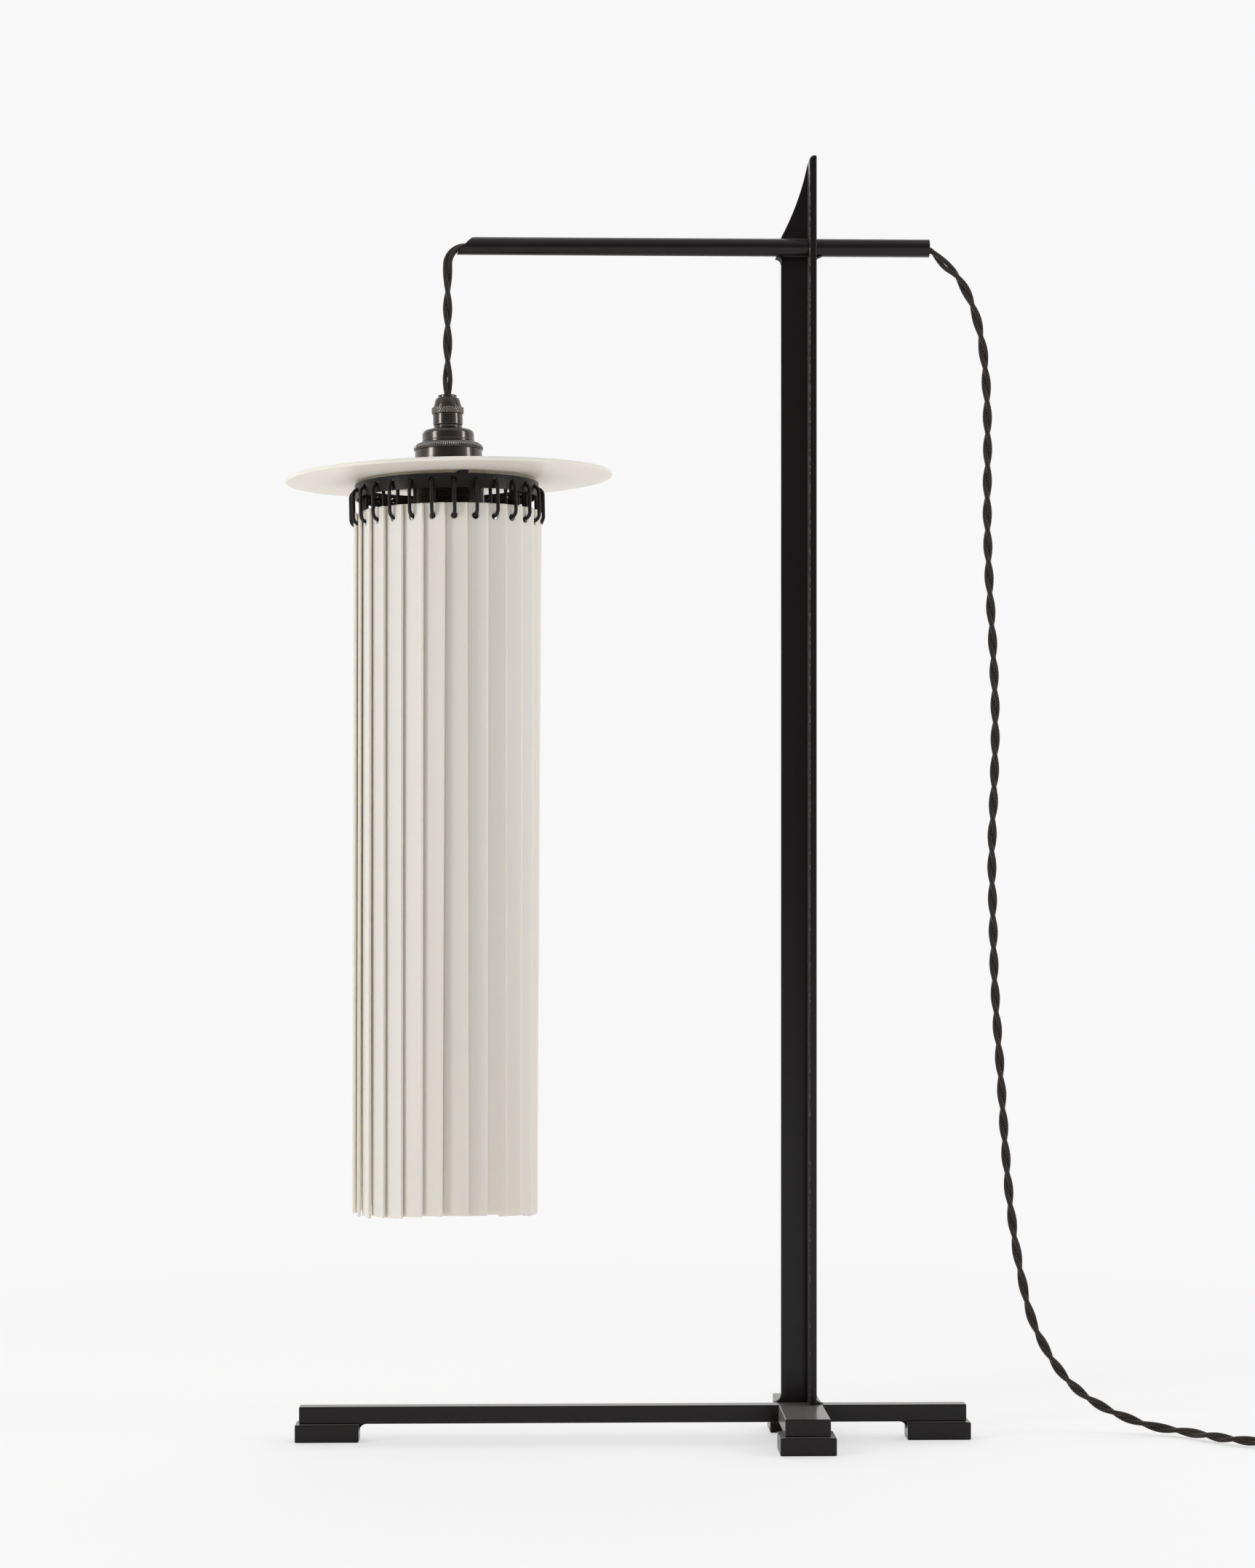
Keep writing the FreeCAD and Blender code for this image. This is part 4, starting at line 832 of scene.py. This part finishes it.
linkR, linkAcross, linkZ = linkPoints()
c, s = np.cos(stripAngle)[:, None, None], np.sin(stripAngle)[:, None, None]
links = tipped(np.stack([ringX + linkR * c - linkAcross * s, linkR * s + linkAcross * c, linkZ + 0 * c], -1))
linkQuads = gridQuads(linkR.shape[0], hook["sides"], joinRows=True)
linkFaces = (linkQuads[None] + (np.arange(ring["count"]) * linkR.size)[:, None, None]).reshape(-1, 4)
linkPiece = addMesh("hookLinks", links.reshape(-1, 3), linkFaces.tolist(), "blackSteel", hook["crisp"])
place(linkPiece, "shade_head", "black_steel", "hook_loops")
print("disc and hook links made")

# strips: heights count from the hook's lower bow; a sine of the strip's number times a step in "differ" makes
# each one a little different
strip = {
    "turn": 12.5, "width": 15.0, "thick": 2.0, "edge": 0.7, "edgeSteps": 4, "crisp": 50,
    "top": 7.15, "length": 404.2, "sidesLonger": 3.8, "shortest": math.radians(-75), "rightLonger": 1.6,
    "uneven": 0.4, "endRows": [0, 0.15, 0.5], "endEase": [0.45, 0.18, 0.0],
    "longRows": 34, "rowGap": 4, "lastRow": 5.2,
    "hole": 1.9, "holeZ": -0.25, "holeEdge": 0.25, "holeSoft": 0.07, "square": 4, "squareShare": 0.45,
    "bow": 0.1, "bowWaves": 1.2, "bowVaries": 0.5, "slope": 0.02, "slopePower": 6,
    "differ": {"length": 2.4, "bowWaves": 3.1, "bowStart": 1.7, "slope": 5.3, "tone": 4.1},
    "slopeStart": 1.0, "toneStart": 0.7,
    "moreTurn": [
        1.5, 0.4, 1.0, 0.3, 0.6, 0.2, 0.8, 0.3, 1.1, 0.5, 0.9, 0.2, 1.2, 0.6,
        0.3, 1.0, 0.4, 0.8, 0.2, 0.9, 0.4, 0.7, 0.3, 1.2, 1.0, 0.2, 2.2,
    ],
    "lean": [
        -0.8, 0.5, 0.0, 0.8, 1.2, 1.7, 2.6, 3.0, 2.8, 2.7, 2.5, 2.4, 2.3, 2.2,
        2.1, 2.0, 1.8, 1.6, 1.4, 1.2, 1.0, 0.7, 0.3, 0.1, 0.2, 0.5, 1.6,
    ],
}


# bar section: two flat faces joined by rounded upright edges, walked round once as (out, across)
def stripSection():
    edge, square = strip["edge"], strip["square"]
    flat, deep = strip["width"] / 2 - edge, strip["thick"] / 2 - edge
    beside = np.array([square + 1, square + 2, flat])
    across = np.concatenate([-beside[::-1], np.arange(-square, square + 1), beside])
    bend = np.linspace(0, math.pi / 2, strip["edgeSteps"] + 1)
    outRight = np.concatenate([deep + edge * np.cos(bend[1:]), -deep - edge * np.sin(bend[:-1])])
    acrossRight = flat + edge * np.concatenate([np.sin(bend[1:]), np.cos(bend[:-1])])
    front = np.full(len(across), strip["thick"] / 2)
    out = np.concatenate([front, outRight, -front, -outRight])
    return out, np.concatenate([across, acrossRight, -across, -acrossRight]), len(beside), len(across)


# hole: rings from a square, which is left out of both faces, to the round wall through the thickness
def stripHole():
    square, hole, half = strip["square"], strip["hole"], strip["thick"] / 2
    lip, soft = strip["holeEdge"], strip["holeSoft"]
    t = np.arange(-square, square, dtype=float)
    far = np.full(len(t), float(square))
    sides = ((t, -far), (far, t), (-t, far), (-far, -t))
    outer = np.concatenate([np.stack(side, -1) for side in sides])
    circle = unit(outer)
    between = outer * strip["squareShare"] + circle * (hole + lip) * (1 - strip["squareShare"])
    frontRim = np.array([(hole + lip, half), (hole + soft, half - soft), (hole, half - lip)])
    rim = np.concatenate([frontRim, frontRim[::-1] * (1, -1)])
    rings = [outer, between] + [circle * radius for radius in rim[:, 0]] + [between, outer]
    outs = [half, half, *rim[:, 1], -half, -half]
    points = [np.c_[np.full(len(p), n), p[:, 0], p[:, 1] + strip["holeZ"]] for n, p in zip(outs, rings)]
    return np.concatenate(points), gridQuads(len(rings), len(outer))


# strip: the section carried up its length with eased ends, and the hole's rings in the squares left out of it
def stripGrid(number):
    out, across, beside, faceColumns = stripSection()
    angle, top, square = stripAngle[number], strip["top"], strip["square"]
    longer = strip["sidesLonger"] * math.sin(angle - strip["shortest"]) ** 2
    longer += strip["rightLonger"] * math.cos(angle)
    longer += strip["uneven"] * math.sin(strip["differ"]["length"] * number)
    bottom = top - strip["length"] - longer
    endRows, gap = np.array(strip["endRows"]), strip["rowGap"]
    holeRows = strip["holeZ"] + np.arange(-square, square + 1)
    longRows = np.linspace(bottom + gap, holeRows[0] - gap, strip["longRows"])
    rows = np.concatenate([bottom + endRows, longRows, holeRows, [strip["lastRow"]], top - endRows[::-1]])
    eased = np.interp(np.minimum(rows - bottom, top - rows), endRows, strip["endEase"])[:, None]
    o = out[None] * (1 - eased)
    a = across[None] * (1 - eased / (strip["width"] / 2))
    z = rows[:, None] + np.zeros(len(out))
    quads = gridQuads(len(rows), len(out))
    row, column = quads[:, 0] // len(out), quads[:, 0] % len(out)
    holeRow = row - len(endRows) - len(longRows)
    holeColumn = column % (faceColumns + 2 * strip["edgeSteps"]) - beside
    inSquare = (holeRow >= 0) & (holeRow < 2 * square) & (holeColumn >= 0) & (holeColumn < 2 * square)
    holePoints, holeQuads = stripHole()
    points = np.concatenate([np.stack([o, a, z], -1).reshape(-1, 3), holePoints])
    faces = quads[~inSquare].tolist() + (holeQuads + o.size).tolist()
    return points, faces + endFaces(len(rows), len(out))


# each strip hangs on its hook's lower bow, on the tipped head
hinges = tipped(np.stack([
    ringX + ring["radius"] * np.cos(stripAngle), ring["radius"] * np.sin(stripAngle),
    np.full(ring["count"], hook["bottom"]),
], -1))
differ = strip["differ"]
for number in range(ring["count"]):
    local, faces = stripGrid(number)
    out, across, up = local.T
    span = np.clip((strip["top"] - up) / strip["length"], 0, 1)
    waves = strip["bowWaves"] + strip["bowVaries"] * math.sin(differ["bowWaves"] * number)
    bowed = out + strip["bow"] * np.sin(math.pi * span * waves + differ["bowStart"] * number) * span
    slope = strip["slope"] * math.sin(differ["slope"] * number + strip["slopeStart"])
    low = up + slope * across * span ** strip["slopePower"]
    lean = strip["lean"][number] * np.clip(-up / strip["length"], 0, 1)
    facing = stripAngle[number] - math.radians(strip["turn"] + strip["moreTurn"][number])
    c, s = math.cos(facing), math.sin(facing)
    points = hinges[number] + np.stack([bowed * c - across * s - lean, bowed * s + across * c, low], -1)
    name = "strip_%02d" % (number + 1)
    piece = addMesh(name + "_porcelain", points, faces, "porcelain", strip["crisp"])
    tone = 0.5 + 0.5 * math.sin(differ["tone"] * number + strip["toneStart"])
    setAttribute(piece, "tone", np.full(len(piece.data.vertices), tone))
    place(piece, name, "porcelain", name)
print("strips hung:", ring["count"])

hoop = {"mergeWithin": 0.001, "flatWithin": 0.5, "bevel": 0.3, "bevelOver": 60, "segments": 2, "crisp": 40}


# hoop: a copy of the CAD piece, its loose triangles merged, flat parts joined and its sharp edges bevelled
def softHoop(name):
    mesh = nodes["hoop"].data.copy()
    work = bmesh.new()
    work.from_mesh(mesh)
    bmesh.ops.remove_doubles(work, verts=work.verts, dist=hoop["mergeWithin"] * mm)
    flat = math.radians(hoop["flatWithin"])
    bmesh.ops.dissolve_limit(work, angle_limit=flat, verts=work.verts, edges=work.edges)
    work.to_mesh(mesh)
    work.free()
    mesh.name = name
    mesh.materials.clear()
    mesh.materials.append(finishes["blackSteel"])
    obj = addObject(name, mesh)
    bevel = obj.modifiers.new("softEdges", "BEVEL")
    bevel.width = hoop["bevel"] * mm
    bevel.segments = hoop["segments"]
    bevel.limit_method = "ANGLE"
    bevel.angle_limit = math.radians(hoop["bevelOver"])
    smoothUpTo(mesh, hoop["crisp"])
    return obj


place(softHoop("hoopSteel"), "shade_head", "black_steel", "hoop")

# CAD pieces kept as they are, with their finishes
kept = {
    "base_long_bar": "powderCoat", "cross_bar_front": "powderCoat", "cross_bar_rear": "powderCoat",
    "side_feet": "powderCoat", "cross_feet": "powderCoat", "weld_fillets": "weldCoat", "spider": "blackSteel",
    "insulator_core": "phenolic", "bulb_contacts": "contactBrass", "bulb_cap": "nickel",
    "bulb_glass": "opalGlass", "switch_base": "blackPlastic", "switch_cover": "blackPlastic",
    "switch_rocker": "blackPlastic", "coil_tie": "tieBand", "plug_body": "blackPlastic",
    "plug_pins": "nickel",
}
for name, finish in kept.items():
    nodes[name].data.materials.clear()
    nodes[name].data.materials.append(finishes[finish])
print("CAD pieces finished:", len(kept))

# floor and light: levels of white, metres, degrees and watts
studio = {
    "white": 0.939, "back": 1.5, "sides": 0.62, "front": 0.2, "above": 0.78,
    "backEase": (0.2, 0.75), "frontEase": (0.3, 0.95), "aboveEase": (0.35, 0.9),
    "floor": 0.9, "near": 0.5, "far": 1.1, "floorGlow": 0.99, "floorShare": 0.5,
    "softboxes": {
        "leftSoftbox": {"around": -62, "up": 12, "watts": 14.4, "wide": 0.48},
        "rightSoftbox": {"around": 74, "up": 11, "watts": 8.8, "wide": 0.26},
    },
    "distance": 2.2, "tall": 1.25, "aimZ": 0.4,
}
floorDisc = {"rings": [0.0, 200, 400, 800, 1600, 4000, 12000], "sides": 96, "z": -0.2}


# plain grey of a level
def grey(level):
    return (level, level, level, 1)


# two shaders mixed by a factor
def mixShaders(tree, factor, a, b):
    node = addNode(tree, "MixShader")
    for socket, source in zip(node.inputs, (factor, a, b)):
        tree.links.new(source, socket)
    return node.outputs["Shader"]


# pale floor: matte under the lamp, lifted a share towards white for the camera, and plain white farther out
def mixFloor():
    material = bpy.data.materials.new("paleFloor")
    material.use_nodes = True
    tree = material.node_tree
    tree.nodes.clear()
    surface = addNode(tree, "OutputMaterial")
    matte = addNode(tree, "BsdfDiffuse", {"Color": grey(studio["floor"])})
    glow = addNode(tree, "Emission", {"Color": grey(studio["white"])})
    lift = addNode(tree, "Emission", {"Color": grey(studio["floorGlow"])})
    eye = addNode(tree, "LightPath")
    share = combine(tree, "MULTIPLY", eye.outputs["Is Camera Ray"], studio["floorShare"])
    lifted = mixShaders(tree, share, matte.outputs["BSDF"], lift.outputs["Emission"])
    coords = addNode(tree, "TexCoord")
    distance = addNode(tree, "VectorMath", operation="LENGTH")
    tree.links.new(coords.outputs["Object"], distance.inputs[0])
    fade = easeBetween(tree, distance.outputs["Value"], studio["near"], studio["far"])
    tree.links.new(mixShaders(tree, fade, lifted, glow.outputs["Emission"]), surface.inputs["Surface"])
    return material


finishes["paleFloor"] = mixFloor()
sweep, floorR = roundAngles(floorDisc["sides"]), np.array(floorDisc["rings"])[:, None]
floorPoints = np.stack([
    floorR * np.cos(sweep), floorR * np.sin(sweep), np.full((len(floorR), len(sweep)), floorDisc["z"]),
], -1)
floorFaces = gridQuads(len(floorR), len(sweep)).tolist()
floor = addMesh("floor", floorPoints.reshape(-1, 3), floorFaces, "paleFloor")

# dome: pale behind the lamp, dimmer at its sides and in front; the camera, glass, and gloss behind the lamp
# see plain white
world = bpy.data.worlds.new("studio")
bpy.context.scene.world = world
world.use_nodes = True
tree = world.node_tree
coords = addNode(tree, "TexCoord")
paths = addNode(tree, "LightPath")


# how far a direction points one way: its dot product with that way, eased between two limits
def towards(direction, low, high):
    dot = addNode(tree, "VectorMath", {1: direction}, "DOT_PRODUCT")
    tree.links.new(coords.outputs["Generated"], dot.inputs[0])
    return easeBetween(tree, dot.outputs["Value"], low, high)


behind = towards(yAxis, *studio["backEase"])
before = towards(-yAxis, *studio["frontEase"])
overhead = towards(zAxis, *studio["aboveEase"])
level = combine(tree, "MULTIPLY_ADD", before, studio["front"] - studio["sides"], studio["sides"])
level = combine(tree, "MULTIPLY_ADD", behind, studio["back"] - studio["sides"], level)
level = combine(tree, "MULTIPLY_ADD", overhead, studio["above"] - studio["sides"], level)
glossy = combine(tree, "MULTIPLY", paths.outputs["Is Glossy Ray"], behind)
seen = combine(tree, "MAXIMUM", paths.outputs["Is Transmission Ray"], glossy)
seen = combine(tree, "MAXIMUM", paths.outputs["Is Camera Ray"], seen)
shown = addNode(tree, "Mix", {"B": studio["white"]})
tree.links.new(seen, shown.inputs["Factor"])
tree.links.new(level, shown.inputs["A"])
tree.links.new(shown.outputs["Result"], tree.nodes["Background"].inputs["Color"])

# two softboxes in front, left and right: each looks at the shade from its angle round and its angle up
for name, softbox in studio["softboxes"].items():
    light = bpy.data.lights.new(name, "AREA")
    light.shape = "RECTANGLE"
    light.size = softbox["wide"]
    light.size_y = studio["tall"]
    light.energy = softbox["watts"]
    box = addObject(name, light)
    a, e = math.radians(softbox["around"]), math.radians(softbox["up"])
    away = studio["distance"] * np.array([math.sin(a) * math.cos(e), -math.cos(a) * math.cos(e), math.sin(e)])
    box.location = away + np.array([shadeX * mm, 0, studio["aimZ"]])
    box.rotation_euler = (math.pi / 2 - e, 0, a)
    box.visible_camera = False
bpy.context.scene.view_settings.view_transform = "Standard"
print("floor and light set")
